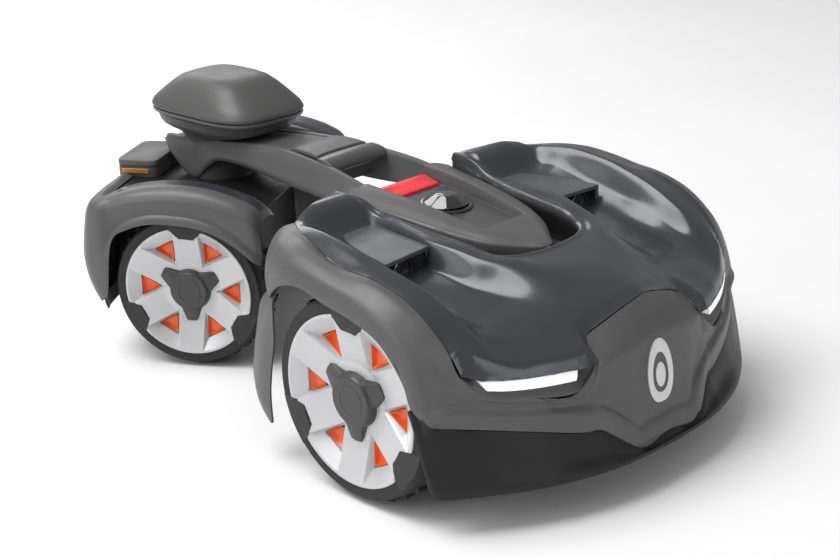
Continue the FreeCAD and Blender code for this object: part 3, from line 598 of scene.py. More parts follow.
# Each station runs from the shell's top edge to its bottom edge, and the stations run from the
# middle of the nose round the corner and back over the wheel.
SHELL = [
    [(0, -186, 211), (0, -193, 190), (0, -201, 168), (0, -204, 150), (0, -209, 112), (0, -214.0, 82),
     (0, -215.5, 77), (0, -217.5, 74.5), (0, -222, 58)],
    [(30, -182.2, 203), (30, -190.5, 187), (30, -200.5, 167), (30, -203.5, 148), (30, -208.5, 110),
     (30, -213.8, 81), (30, -215.3, 76), (30, -217.3, 73.5), (30, -222, 58)],
    [(57, -177.6, 193.6), (58, -186.5, 181.5), (58, -198.5, 165), (58, -202, 146), (54, -207.5, 110),
     (48, -213.5, 80), (46, -215, 74.5), (48, -217, 72), (57, -221, 58)],
    [(76.5, -172.3, 184.8), (79, -181, 175), (80, -196, 162), (80, -200, 142), (76, -204.0, 115),
     (68, -208.5, 95), (65, -210.5, 91), (66, -212.5, 88), (66, -218, 64)],
    [(84.5, -173.4, 180.2), (87.0, -181.5, 171.5), (89.5, -194, 158), (91, -198, 138), (91, -201.5, 120),
     (90, -203.0, 112), (90, -204.0, 108.5), (89, -206.0, 104), (80, -211, 75)],
    [(91.5, -192, 160.5), (95, -194.5, 148), (100, -196.2, 138), (101, -196.8, 132), (102, -197, 124),
     (103, -197.5, 116.5), (103, -198.5, 112.5), (103, -201.2, 109), (96, -203.5, 86.5)],
    [(118, -191.5, 135.5), (118, -191.7, 134), (118, -191.9, 131), (118, -192.0, 128), (118, -192.3, 124),
     (118, -193.0, 118.8), (118, -194, 115.5), (118, -196.8, 112), (112, -199, 88.5)],
    [(172, -169.5, 141), (172, -169.7, 139.6), (172, -169.8, 136.5), (172, -170.0, 133.5), (172, -170.5, 130),
     (172, -171.4, 126.8), (172, -172.3, 123.5), (172, -175, 120), (170, -177, 103.5)],
    [(214, -144, 150.5), (214, -144.4, 149), (214, -144.8, 146.2), (214, -145.0, 143.4), (214, -145.4, 139.5),
     (214, -146.2, 135.5), (214, -147.2, 132.2), (215, -150.5, 128.5), (215, -151, 114)],
    [(231, -128, 170), (233, -128.5, 166), (235, -129.2, 160), (236, -129.6, 153), (237, -130, 146),
     (238, -130.6, 139.5), (239, -131.6, 136), (240, -134, 132), (240, -131, 118)],
    [(236, -112, 202), (243, -112.5, 196), (250, -113.5, 186), (255, -114.5, 173), (262, -115, 160),
     (266, -115.2, 149), (268.5, -115.5, 142.5), (270, -117.5, 138.5), (269, -112, 127)],
    [(239, -92, 223), (247, -93.5, 218), (257, -96, 207), (266, -99, 191), (273.0, -100.5, 174),
     (276.2, -101.5, 158), (276.8, -102, 150), (277.0, -102.3, 147), (277.2, -98.5, 143)],
    [(240, -72, 236.5), (248, -74, 233), (258.5, -76, 224), (269.5, -78, 211), (274.3, -79.8, 197),
     (276.2, -82.4, 184), (276.8, -84.7, 176.5), (277.2, -86.6, 172), (277.4, -88, 168.6)],
    [(241, -50, 246.5), (249, -51, 245), (260, -52, 238), (270.5, -53, 228), (275.3, -54, 218),
     (276.8, -55, 210), (277.2, -56, 206.6), (277.4, -56.6, 204.4), (277.4, -57, 202.8)],
    [(242, -12, 255.5), (250, -12, 255.2), (260.5, -12, 250), (270.5, -12, 242), (275.4, -12, 233),
     (276.9, -12, 227), (277.3, -12, 223.4), (277.5, -12, 221.2), (277.5, -12, 219.8)],
    [(242, 28, 257), (250, 28, 258), (260.5, 28, 255), (269.5, 28.5, 249), (274, 29, 242),
     (276.2, 29.5, 235.8), (276.9, 30, 231.8), (277.1, 30, 229.4), (277.2, 30, 227.4)],
    [(236, 62, 260), (246, 63, 263.5), (257, 64.5, 262), (265.5, 66, 256), (270.5, 67, 249.5),
     (273.4, 68, 243), (274.6, 68.5, 239.5), (275, 69, 237), (275.2, 69, 235)],
    [(224, 104, 267.5), (236, 106, 270), (249, 108, 267), (259.5, 109, 259), (266, 109.5, 249),
     (270, 109.5, 239), (271.6, 109, 232.5), (272.2, 108.5, 229), (272.5, 108, 226.5)],
    [(212, 138, 270), (224, 142, 269.5), (238, 144, 264), (250, 143, 251), (258.5, 139, 237),
     (264.5, 133, 224), (267, 129, 217), (268, 127.5, 214), (268.5, 126, 211.5)],
    [(200, 158, 270.5), (210, 166, 267), (221, 170, 258), (233, 169, 243), (244, 162, 229), (254, 151, 217),
     (260.5, 141, 210), (263, 136, 207.5), (265, 131, 205.5)],
]
# a hollow above the skirt, so that the lip over it stands proud
for station in SHELL[3:10]:
    station[3:6] = [(x, y + 1.7, z) for x, y, z in station[3:6]]
surface = net(SHELL, 5.0, 2.6)
surface[..., 0] -= 1.6 * smooth(surface[..., 0], 268.0, 276.0)
shell = Build().grid(front(surface)).mirrored()
dress(shell.make("body_shell", INSIDE), "outer_shell", M["shell"],
      ["front_body_shell", "nose_plate"], thick=2.6, bevel=0.7, angle=45)

# The shelf of the headlight pocket, from the shell's edge in to the lens and up under the hood.
pocket_edge = [(91.5, -192, 160.5), (95, -194.5, 148), (100, -196.2, 138), (118, -191.5, 135.5),
    (172, -169.5, 141),
               (214, -144, 150.5), (231, -128, 170)]
pocket_mid = [(97, -184, 161), (100, -186.0, 150), (105, -187.0, 144), (119, -185.0, 142.5), (171, -163.0, 147),
              (210, -139.5, 155.5), (226, -125, 171)]
pocket_deep = [(101, -172, 163), (104, -173.0, 158), (108, -174.0, 155), (120, -173.0, 153.5),
    (168, -151.0, 156),
               (205, -130.5, 163), (219, -119, 174)]
pocket = Build().grid(front(net(list(zip(pocket_edge, pocket_mid, pocket_deep)), 5.0, 2.5))).mirrored()
dress(pocket.make("headlight_pocket", INSIDE), "outer_shell", M["shell"], thick=2.0, angle=40)

lens = Build()
low = evenly([(119, -188.3, 147.4), (145, -178.8, 148.2), (172, -166.9, 149.6), (196, -153.5, 151.9),
    (210, -144.5, 154.4)], 40)
high = evenly([(116, -187.3, 159.6), (145, -177.5, 160.4), (172, -165.6, 161.4), (196, -152.2, 163.1),
    (216, -139.8, 165.4)], 40)
inward = np.array([-3.0, 12.0, 1.0])
back, under = high + inward, low + inward
middle = (low + high) / 2 + np.array([0.4, -1.1, 0])
lens.grid(front(np.array([under, low, middle, high, back, under])))
for end in (0, -1):
    lens.add(front(np.array([low[end], middle[end], high[end], back[end], under[end]])), [(0, 1, 2, 3, 4)])
lens.mirrored()
dress(lens.make("headlight_guides"), "outer_shell", M["lens"], ["headlight_lenses"], bevel=0.7,
    angle=35)

SKIRT = [
    [(0, -221.2, 57.0), (0, -223.6, 54.5), (0, -226.4, 51.0), (0, -230.5, 46.8), (0, -230.2, 45.4),
     (0, -227, 45)],
    [(57, -220.2, 57.0), (57, -222.6, 54.5), (57, -224.6, 51.0), (57, -227.9, 46.8), (57, -227.6, 45.4),
     (57, -224.6, 45)],
    [(66, -217.2, 63.0), (66, -219.4, 60.0), (66, -223.0, 53.0), (66, -227.0, 46.8), (66, -226.7, 45.4),
     (66, -223.6, 45)],
    [(80, -210.2, 74.0), (80, -212.4, 70.0), (80, -218.5, 57.0), (80, -225.0, 46.8), (80, -224.7, 45.4),
     (80, -221.6, 45)],
    [(96, -202.7, 85.5), (96, -205.0, 81.0), (96, -213.0, 62.0), (96, -222.0, 46.8), (96, -221.7, 45.4),
     (96, -218.6, 45)],
    [(112, -198.2, 87.5), (112, -200.2, 82.5), (112, -207.5, 63.0), (112, -217.8, 46.8), (112, -217.5, 45.4),
     (112, -214.6, 45)],
    [(170, -176.2, 102.5), (170, -178.4, 97.0), (171, -186.0, 70.0), (172, -195.0, 46.8), (172, -194.7, 45.4),
     (171, -192, 45)],
    [(215, -150.4, 113.0), (215.5, -152.5, 107.0), (217, -160.0, 75.0), (219, -167.2, 46.8),
     (218.7, -167, 45.4), (217, -164.6, 45)],
    [(240, -130.6, 117.2), (241, -133, 111.0), (244, -140.5, 78.0), (246, -147.2, 46.8), (245.7, -147, 45.4),
     (243.6, -145, 45)],
    [(262, -111.6, 126.2), (263, -115, 119.0), (264.5, -125.0, 82.0), (264.5, -132.8, 47.2),
     (264.2, -132.6, 45.8), (261.8, -131, 45.2)],
    [(276.2, -97.5, 142.0), (276.6, -102.5, 131.0), (276.2, -115.0, 90.0), (272.5, -123.5, 52.0),
     (272.0, -123.5, 49.8), (269.6, -123, 48.6)],
    [(277.2, -94.5, 140.0), (277.4, -99.0, 130.0), (277.0, -109.5, 95.0), (274.2, -116.8, 60.0),
     (273.8, -116.8, 57.6), (271.6, -116.8, 56.6)],
]
skirt = Build().grid(front(net(SKIRT, 6.0, 3.0))).mirrored()
dress(skirt.make("bumper_band", INSIDE), "outer_shell", M["skirt"], ["bumper_skirt"],
      thick=3.0, bevel=0.8, angle=45)

FLAP = [
    [(256, 118, 230), (252, 126, 230), (246, 134, 230), (238, 142, 230)],
    [(261, 122, 218), (257, 130, 218), (251, 139, 218), (243, 147, 218)],
    [(266, 126.5, 204), (262, 134, 205), (256, 144, 206), (250, 152, 207)],
    [(269, 124.0, 190), (266, 137, 191), (260, 150, 192), (252, 163, 193)],
    [(270.5, 123.0, 172), (268, 140, 172), (262, 156, 172), (252, 171, 172)],
    [(271, 123.0, 158), (269, 143, 156), (263, 161, 155), (251, 177, 154)],
    [(271, 131.5, 120), (270, 149, 119), (264, 167, 119), (251, 186, 119)],
    [(270.5, 136.5, 96), (269, 153, 96), (264, 170, 96), (251, 190, 96)],
    [(270.5, 138.0, 78), (269, 153, 77), (264, 169, 76), (252, 186, 76)],
    [(270, 138.5, 62), (268, 149, 60), (264, 160, 58), (256, 172, 58)],
    [(269, 139.5, 50), (268, 143, 48.5), (265, 148, 47.5), (261, 154, 48)],
]
flaps = Build().grid(front(net(FLAP, 5.0, 3.0))).mirrored()
dress(flaps.make("mud_guards", INSIDE), "outer_shell", M["shell"], ["front_mud_flaps"],
      thick=2.6, bevel=0.8, angle=45)

# A plain oval: a ring round a solid middle, on the sloping nose. The ring's top is a little drawn out.
EMBLEM_Z, EMBLEM_LIFT, EMBLEM_COUNT = 120.0, 0.9, 72
emblem = Build()
for outer, inner, drawn in ((1.0, 0.62, 0.12), (0.38, 0.0, 0.0)):
    rows = []
    for share, out in ((outer, -1.0), (outer, EMBLEM_LIFT * 0.7), (outer - 0.05, EMBLEM_LIFT),
                       (inner + 0.05, EMBLEM_LIFT), (inner, EMBLEM_LIFT * 0.7), (inner, -1.0)):
        ring = []
        for k in range(EMBLEM_COUNT):
            t = math.tau * k / EMBLEM_COUNT
            z = 37.0 * share * math.sin(t) * (1.0 + drawn * math.sin(t))
            y = -203.6 - (158.0 - (EMBLEM_Z + z)) * 0.118
            ring.append((22.0 * share * math.cos(t), y - out, EMBLEM_Z + z))
        rows.append(ring)
    emblem.grid(front(np.array(rows)), wrap=True)
dress(emblem.make("oval_emblem"), "outer_shell", M["emblem"], angle=30)


# ---------------------------------------------------------------- hood

# Cross sections of the hood, from the nose back: y, then x and z at the middle, the slot's edge, the
# ridge's shoulder and crest, the inner wall's foot, the valley's far edge, the slope, the outer crest
# and the parting.
HOOD = [
    (-205, [0, 22, 44, 66, 98, 158, 180, 200, 245], [209, 203, 195, 187, 172, 158, 155, 152, 146]),
    (-185, [0, 22, 44, 66, 98, 158, 180, 200, 245], [212, 207, 200, 192, 180, 167, 163, 161, 156]),
    (-165, [0, 22, 44, 66, 100, 158, 180, 200, 245], [217, 214, 208, 201, 189, 177, 172, 170, 166]),
    (-140, [0, 24, 46, 68, 104, 160, 182, 201, 245], [224, 222, 218, 212, 200, 189, 186, 188, 187]),
    (-110, [0, 30, 50, 70, 110, 163, 184, 203, 245], [230.5, 230, 228.5, 224, 208, 200, 203, 212, 206]),
    (-85, [0, 42, 60, 75, 114, 166, 186, 206, 245], [234, 234.5, 235, 232, 210, 204, 211, 230, 226]),
    (-60, [0, 54, 70, 82, 118, 167, 188, 208, 245], [237, 237, 239.5, 238.5, 213, 209, 221, 242, 240]),
    (-35, [0, 70, 84, 94, 122, 168, 190, 211, 245], [240, 238, 242, 242, 216, 213, 227, 251, 248]),
    (0, [0, 79, 94, 104, 122, 168, 192, 214, 245], [246, 246, 249, 248, 221, 219, 231, 260, 257]),
    (34, [0, 82, 101, 111, 120, 166, 194, 215, 245], [249, 249, 253, 252, 225, 224, 238, 268, 259]),
    (60, [0, 83, 98, 107, 116, 164, 193, 214, 245], [250, 251, 255, 254, 235, 232, 243, 272, 263]),
    (100, [0, 85, 95, 102, 110, 162, 190, 212, 245], [252, 254, 258, 257, 243, 241, 253, 276, 267]),
    (134, [0, 88, 94, 100, 108, 160, 186, 208, 245], [253, 258, 262, 261, 252, 251, 258, 275, 266]),
    (150, [0, 90, 95, 101, 108, 160, 184, 206, 245], [254, 262, 269, 270, 271, 272, 272, 273, 264]),
    (210, [0, 98, 102, 106, 112, 160, 184, 205, 245], [258, 268, 275, 275, 274, 273, 270, 262, 250]),
]


def table_height(x, y):
    """Heights across the sections above, without overshoot between their points."""
    rows_y = np.array([row[0] for row in HOOD], float)
    table = np.array([[row[1], row[2]] for row in HOOD], float).transpose(0, 2, 1)
    at = hermite(table, rows_y, np.clip(y, rows_y[0], rows_y[-1]).ravel())
    xs, zs = at[..., 0], at[..., 1]
    dt = np.maximum(np.diff(xs, axis=1), 1.0)
    slope = np.diff(zs, axis=1) / dt
    m = np.zeros_like(zs)
    a, b = slope[:, :-1], slope[:, 1:]
    m[:, 1:-1] = np.where(a * b > 0, 2 * a * b / np.where(a * b > 0, a + b, 1.0), 0.0)
    m[:, 1:-1] = 0.5 * m[:, 1:-1] + 0.5 * np.where(a * b > 0,
        np.sign(a) * np.minimum(np.abs(a), np.abs(b)) * 1.5, 0)
    m[:, -1] = slope[:, -1]
    q = np.clip(np.abs(x).ravel(), xs[:, 0], xs[:, -1] - 0.01)
    i = np.clip((xs <= q[:, None]).sum(1) - 1, 0, dt.shape[1] - 1)
    n = np.arange(len(q))
    h = dt[n, i]
    s = (q - xs[n, i]) / h
    out = ((2 * s**3 - 3 * s**2 + 1) * zs[n, i] + (s**3 - 2 * s**2 + s) * h * m[n, i]
           + (3 * s**2 - 2 * s**3) * zs[n, i + 1] + (s**3 - s**2) * h * m[n, i + 1])
    return out.reshape(np.shape(x))


def to_line(x, y, line):
    """The distance in plan from each point to a line through points."""
    best = np.full(np.shape(x), 1e9)
    p = np.array(line, float)[:, :2]
    for a, b in zip(p, p[1:]):
        d = b - a
        t = np.clip(((x - a[0]) * d[0] + (y - a[1]) * d[1]) / (d @ d), 0, 1)
        best = np.minimum(best, np.hypot(x - a[0] - t * d[0], y - a[1] - t * d[1]))
    return best


HOOD_LIP = [(91, -196, 162), (104, -195, 160.5), (118, -190.5, 160.0), (145, -180, 161), (172, -167.5, 162),
            (196, -154, 163.8), (214, -142, 166.0), (224, -134, 169.5), (230.5, -129, 173)]
PLATE_EDGE = [(0, -184.4, 211.5), (30, -181.2, 204), (56, -176.5, 195), (76, -171.2, 186),
    (83.5, -171.5, 182.0),
              (86.5, -177.5, 174.5), (91, -195.3, 161)]
PARTING = [(230.5, -129, 173), (235.2, -111, 202.5), (238.2, -91, 223.5), (239.3, -71, 237.0),
    (240.3, -50, 247.0),
           (241.3, -12, 256.0), (241.3, 28, 257.5), (235.3, 62, 260.5), (223.3, 104, 268.0),
            (211.3, 138, 270.5),
           (199, 158, 271.0)]
SLOT = [(0, -57), (20, -56.3), (38, -53.2), (52, -47.5), (63, -39), (71, -28.5), (76, -14), (79, 4), (82, 42),
    (85, 100),
        (89.5, 150), (98, 198)]
BACK = [(98, 198), (112, 189), (130, 179), (160, 170), (199, 158)]


def hood_height(x, y):
    x = np.abs(x)
    z = table_height(x, y)
    # the rolled front edge above the lens, and the rounded rim of the slot beside the console
    near = to_line(x, y, HOOD_LIP)
    roll = np.clip(1 - near / 11.0, 0, 1)
    target = np.interp(x, [p[0] for p in HOOD_LIP], [p[2] for p in HOOD_LIP])
    z = z + (target - z) * roll**2.8 * (y < -60)
    edge = to_line(x, y, SLOT)
    z += 1.6 * hump(edge, 5.0, 3.2) - 2.4 * np.clip(1 - edge / 3.0, 0, 1) ** 2
    return z


count_u, count_v = 170, 240
inner_line = evenly([(0, -184.4), (0, -140), (0, -100), (0, -57)], 80)
slot_line = evenly([p[:2] for p in SLOT], count_v - 79)
left = np.concatenate([inner_line, slot_line[1:]])
plate_count = 62
plate_line = np.concatenate([evenly([p[:2] for p in PLATE_EDGE[:4]], 46),
                             evenly([p[:2] for p in PLATE_EDGE[3:]], plate_count - 45)[1:]])
bottom = np.concatenate([plate_line, evenly([p[:2] for p in HOOD_LIP], count_u - plate_count + 1)[1:]])
right = evenly([p[:2] for p in PARTING], count_v)
top = evenly(BACK, count_u)
plan = coons(bottom, top, left, right)
heights = hood_height(plan[..., 0], plan[..., 1])


def pull(values, plan, line, reach):
    """Draws the heights near one boundary to the boundary's own heights."""
    p = path(line, 2.0)
    d = to_line(plan[..., 0], plan[..., 1], p)
    near = np.argmin((plan[..., 0, None] - p[:, 0]) ** 2 + (plan[..., 1, None] - p[:, 1]) ** 2, axis=-1)
    w = np.clip(1 - d / reach, 0, 1) ** 2
    return values + (p[near, 2] - values) * w


heights = pull(heights, plan, PLATE_EDGE, 16.0)
heights = pull(heights, plan, PARTING, 16.0)
hood = Build().grid(front(np.concatenate([plan, heights[..., None]], -1))).mirrored()

# The slot's wall hangs inside the hood's thickness and turns in under the console.
lip = path([p + (float(hood_height(np.array(p[0]), np.array(p[1]))),) for p in SLOT], 4.0)
lip[:, 0] *= 1.022
lip[:, 1] -= 1.4
drop = lip.copy()
drop[:, 2] = 206.0
lip[:, 2] += 0.9
flange = drop - [12.0, 0.0, 0.0]
flange[:, 0] = np.maximum(flange[:, 0], 0.0)
flange[:, 1] += 10.0 * (lip[:, 1] < -25)
well = Build().grid(front(np.array([lip, (lip * 2 + drop) / 3, drop, flange]))).mirrored()
dress(well.make("slot_wall", spot(front, 0, 60, 400)), "outer_shell", M["skirt"], thick=1.6,
      angle=60)
dress(hood.make("hood_skin", INSIDE), "outer_shell", M["hood"], ["hood_cover"], thick=2.4, bevel=0.9,
      angle=55)

# Sensor pods: a flat tongue of a roof over a mouth with a round sensor in it. The mouth is a solid near-black
# block, painted shade standing in for the shadowed hollow.
roof_line = rounded([(113.5, 30), (108, 90), (104, 124), (106, 139), (120, 146), (139, 141), (155, 127),
    (167, 104),
                     (176, 70), (185, 26)], 5.0, 5)
POD_FLOOR = 214.0


def below_roof(depth):
    """The height of the pods' sloping roof at a place, less a depth."""
    return lambda x, y: 247.6 + 0.018 * (y - 30) - 0.02 * (x - 113) - depth


pods, mouth_shade, sensors = Build(), Build(), Build()
roofs = Build().block(roof_line, below_roof(5.0), below_roof(0.0))
for wall in (((113.8, 30.6), (117.0, 32.5), (116.0, 60), (111.0, 60)),
             ((179.0, 28.5), (182.4, 26.6), (177.5, 60), (173.5, 60))):
    pods.block(wall, POD_FLOOR, below_roof(1.0))
pods.block([(117, 36), (127, 47), (127, 60), (116, 60)], POD_FLOOR, below_roof(3.0))
# the mouth: a solid near-black block, painted shade for the hollow behind the sensor
mouth_shade.block([(116, 47), (177, 44), (174, 60), (115, 60)], POD_FLOOR, below_roof(3.0))
profile = [(0.0, 35.6), (7.0, 35.4), (8.0, 34.4), (10.4, 34.0), (11.6, 34.6), (12.0, 35.6), (13.0, 33.2),
    (14.4, 33.0),
           (15.2, 34.5), (15.4, 48.0)]
rows = [[(153 + r * math.cos(t), y, 229.6 + 0.92 * r * math.sin(t)) for t in circle(48)]
        for r, y in profile]
sensors.grid(front(np.array(rows)), wrap=True)
for build in (pods, roofs, mouth_shade, sensors):
    build.mirrored()
dress(roofs.make("sensor_roofs"), "outer_shell", M["roof"], bevel=0.9, angle=40)
dress(pods.make("sensor_pods"), "outer_shell", M["hood"], bevel=0.8, angle=40)
dress(mouth_shade.make("sensor_mouths_painted_shade"), "outer_shell", M["chassis"], bevel=0.5, angle=40)
dress(sensors.make("sensor_faces"), "outer_shell", M["black"], ["ultrasonic_sensors"], angle=30)


# ---------------------------------------------------------------- console, arm and handle

CONSOLE = [  # y, half width, edge z, shoulder x, shoulder z
    (-50.5, 1.0, 234.5, 0.5, 234.8), (-48.5, 6.5, 234.5, 3.0, 236.0), (-44, 12, 234.6, 6.5, 237.5),
     (-36, 19, 234.8, 11, 239.4),
    (-26, 28, 235.4, 17, 241.4), (-12, 40, 237.0, 26, 244.2), (2, 50.0, 239.0, 34, 246.8),
     (20, 58, 242.0, 40.5, 249.6),
    (45, 66.5, 246.0, 46.0, 253.6), (75, 72.5, 250.0, 50, 259.0), (105, 77.5, 253.5, 53.0, 263.5),
     (150, 84, 257.5, 57, 268.5),
    (175, 88, 259.5, 59, 270.5), (197, 92, 261.5, 60.5, 271.8)]
PANEL = [(17.5, 30.0), (21.0, 34.0), (30, 36.0), (60, 39.5), (100, 43.0), (150, 47.0), (158.5, 47.6)]
STOP_BAY = (158.5, 197.0, 47.6)


def console_row(y):
    rows = np.array(CONSOLE, float)
    return hermite(rows[:, 1:], rows[:, 0], np.array([y]))[0]


def panel_height(y):
    return 240.4 + (y - 20.0) * 0.092


console = Build()
ys = np.concatenate([np.linspace(-50.4, -30, 20), np.arange(-28.5, 16.5, 1.5), [17.2, 17.6, 19.0],
                     np.arange(20.5, 157.5, 2.0), [158.3, 158.7], np.arange(160.5, 196.5, 2.0), [197.0]])
rows = []
for y in ys:
    half, edge_z, shoulder, shoulder_z = console_row(y)
    centre_z = shoulder_z + 0.02 * shoulder
    sunk, sunk_z = 0.0, 0.0
    if 17.5 < y < 158.5:
        sunk, sunk_z = float(np.interp(y, [p[0] for p in PANEL], [p[1] for p in PANEL])), panel_height(y)
    elif y >= 158.5:
        sunk, sunk_z = STOP_BAY[2], 252.0 + (y - 158.5) * 0.10
    row = []
    for k in range(15):
        f = k / 14
        x = (sunk - 1.4) * f if sunk else 0.62 * shoulder * f
        row.append((x, y, sunk_z if sunk else centre_z + (shoulder_z - centre_z) * 0.4 * f * f))
    if sunk:
        row += [(sunk - 1.1, y, sunk_z + 0.3), (sunk - 0.2, y, shoulder_z - 2.0),
            (sunk + 0.6, y, shoulder_z - 0.5)]
        start_x = sunk + 1.8
    else:
        row += [(shoulder * k, y, centre_z + (shoulder_z - centre_z) * (0.4 + (k - 0.62))) for k in (0.66,
            0.72, 0.78)]
        start_x = shoulder * 0.84
    start_z = shoulder_z + (0.0 if sunk else 0.2)
    ctrl = np.array([(start_x, y, start_z), ((start_x + shoulder) / 2, y, shoulder_z + 0.1),
        (shoulder, y, shoulder_z - 0.3),
                     (shoulder + (half - shoulder) * 0.4, y, shoulder_z + (edge_z - shoulder_z) * 0.30),
                     (shoulder + (half - shoulder) * 0.8, y, shoulder_z + (edge_z - shoulder_z) * 0.76),
                     (half, y, edge_z), (half + 0.8, y, edge_z - 4.0), (half + 0.6, y, edge_z - 16.0)])
    t = knots(ctrl)
    row += [tuple(p) for p in hermite(ctrl, t, np.linspace(0, t[-1], 26))]
    rows.append(row)
rows = np.array(rows)
console.grid(front(rows))
low = rows[-1].copy()
low[:, 2] = 232.0
console.grid(front(np.array([rows[-1], low])))
console.mirrored()

# A dark floor under the slot: painted shade, a near-black sheet standing in for the shadowed inside seen
# through the gap.
slot_path = path([(*p, 0.0) for p in SLOT], 3.0)
rows = []
for y in np.linspace(-50, 192, 60):
    reach = max(float(np.interp(y, slot_path[:, 1], slot_path[:, 0])) - 6.0, 0.2)
    rows.append([(k * reach, y, 217.0) for k in (0.0, 0.5, 1.0)])
slot_shade_floor = Build().grid(front(np.array(rows))).mirrored()
# near-black chassis colour here is painted shade for the slot's shadowed inside
dress(slot_shade_floor.make("console_slot_painted_shade", spot(front, 0, 60, 100)), "front", M["chassis"],
      thick=2.0, angle=40)
dress(console.make("console_top", INSIDE), "front", M["shell"], ["console_cover"], angle=32)

ring = [(p[1] - 2.2, p[0] + 0.8) for p in PANEL[:-1]] + [(45.2, 156.5)]
ring = ring + [(-x, y) for x, y in reversed(ring)]
panel = Build().block(ring, lambda x, y: panel_height(y) - 1.5, lambda x, y: panel_height(y) + 0.7)
dress(panel.make("display_face"), "front", M["panel"], ["display_panel"], bevel=0.4, angle=35)

KNOB_Y = 112
knob_base = panel_height(KNOB_Y) + 0.6
collar = Build()
profile = [(22.0, knob_base), (22.0, knob_base + 2.4), (28.6, knob_base + 3.6), (30.6, knob_base + 3.2),
           (31.8, knob_base + 1.8), (32.0, knob_base - 1.0)]
turn = circle(96)
collar.grid(front(np.array([[(r * math.cos(t), KNOB_Y + r * math.sin(t),
    z + 0.08 * r * math.sin(t)) for t in turn]
                            for r, z in profile])), wrap=True)
dress(collar.make("knob_collar", INSIDE), "front", M["black"], angle=30)

knob = Build()
rows = []
for r, z, facet in ((0.0, 14.6, 0), (11.6, 14.6, 0), (13.6, 14.0, 1), (24.5, 6.4, 1), (27.4, 4.4, 0.8),
                    (27.6, 3.4, 0.3), (24.0, 2.6, 0), (0.0, 2.6, 0)):
    row = []
    for t in circle(120):
        k = math.cos(math.pi / 8) / math.cos((t % (math.tau / 8)) - math.pi / 8)
        rr = r * (facet * k + (1 - facet))
        row.append((rr * math.cos(t), KNOB_Y + rr * math.sin(t), knob_base + z))
    rows.append(row)
knob.grid(front(np.array(rows)), wrap=True)
dress(knob.make("knob_crown"), "control_knob", M["black"], ["control_knob"], angle=24)

stop = Build()
stop_ring = rounded([(-43.5, 165.5), (43.5, 165.5), (45.5, 194.5), (-45.5, 194.5)], 4, 5)
crowned = lambda x, y: 258.2 + 0.17 * (y - 165) - 0.0011 * x * x + (1.0 if y > 187 else 0)
rows = []
for scale_ring, lift in ((0.97, -5.6), (1.0, -5.0), (1.0, -1.2), (0.985, -0.3), (0.955, 0.0), (0.6, 0.1),
    (0.0, 0.2)):
    row = []
    for x, y in stop_ring:
        px, py = x * scale_ring, 180.0 + (y - 180.0) * scale_ring
        row.append((px, py, crowned(px, py) + lift))
    rows.append(row)
stop.grid(front(np.array(rows)), wrap=True)
dress(stop.make("stop_pad", INSIDE), "stop_button", M["red"], ["stop_button"], angle=35)

# The arm: side rails round the handle's gap, then one beam over the pivot, arched underneath.
ARM = [  # y, half width at the top, at the bottom, top z at the edge, bottom z
    (197.5, 61, 86, 272, 252), (212, 60, 76, 274.5, 245), (230, 58, 66, 277, 241), (256, 54.5, 61, 280, 239.5),
    (292, 51, 56, 282, 239), (344, 46.5, 52, 284, 240.5), (393, 43, 49, 282.5, 243.5),
    (430, 41.5, 47, 279.0, 246), (470, 41, 46.5, 274.5, 246.5), (500, 41, 46.5, 270.5, 243),
    (525, 41, 46.5, 267.5, 228), (545, 41, 46.5, 265.5, 212), (565, 41, 46, 264, 211.5),
     (590, 40, 44, 262.5, 224), (612, 38, 42, 261, 240), (622, 36, 39, 259, 250)]
arm = Build()
rail = []
for y, top_half, low_half, z_top, z_low in ARM:
    mid = (z_top + z_low) / 2
    rail.append([(top_half - 9.5, y, z_top - 4.5), (top_half - 8.0, y, z_top - 0.6), (top_half - 5.0, y, z_top),
                 (top_half - 1.2, y, z_top - 0.8), (top_half, y, z_top - 3.5),
                  ((top_half + low_half) / 2 + 0.3, y, mid),
                 (low_half, y, z_low + 3.0), (low_half - 1.0, y, z_low + 0.6), (low_half - 3.5, y, z_low),
                 (top_half - 10.5, y, z_low + 0.5)])
rail = net(rail, 4.0, 3.0)
arm.grid(front(np.concatenate([rail, rail[:1]])))
for end in (0, -1):
    arm.add(front(rail[:, end]), [tuple(range(len(rail)))])
arm.mirrored()
# the arm's floor between the rails, ahead of the gap and behind it, and the housing round the pivot
arm.block([(-52, 197.5), (52, 197.5), (51, 205), (-51, 205)], 240, 251.0)
deck = []
for y, half, z_top, z_low in ((288, 43, 275, 246), (344, 38, 276, 247), (393, 35, 274, 249),
    (470, 33, 266, 250),
                              (545, 33, 261.5, 250), (612, 30, 258, 250)):
    deck.append([(-half, y, z_low), (-half, y, z_top), (half, y, z_top), (half, y, z_low), (-half, y, z_low)])
deck = np.array(deck, float)
arm.grid(front(deck))
for end in (0, -1):
    arm.add(front(deck[end, :4]), [(0, 1, 2, 3)])
turn = circle(72)
arm.grid(front(np.array([[(r * math.cos(t), PIVOT_Y + r * math.sin(t), z) for t in turn]
                         for r, z in ((12.2, 208.0), (40.0, 207.6), (43.0, 209.0), (43.6, 213.0),
                             (43.6, 262.0), (12.2, 262.0), (12.2, 208))])), wrap=True)
dress(arm.make("arm_skin"), "front", M["shell"], ["arm_frame"], bevel=0.0, angle=40)

grip = Build()
rows = []
for y, z_top, z_low, half in ((259.5, 277.5, 273.0, 46.0), (261.5, 281.0, 272.0, 47.2),
    (268, 285.0, 271.6, 47.8),
                              (278, 287.0, 272.5, 47.6), (288, 287.6, 274.5, 47.0),
                               (291.4, 286.2, 276.0, 46.5)):
    across = [-1 + k / 6 for k in range(13)]
    rows.append([(half * f, y, z_top - 1.6 * f**4 + 0.6 * (1 - f * f)) for f in across]
                + [(half * (1 - k / 6), y, z_low) for k in range(13)])
grip.grid(front(np.array(rows)), wrap=True)
for row in (rows[0], rows[-1]):
    grip.add(front(np.array(row)), [tuple(range(26))])
dress(grip.make("carry_grip"), "front", M["panel"], ["carry_handle"], bevel=1.4, angle=38,
    segments=3)

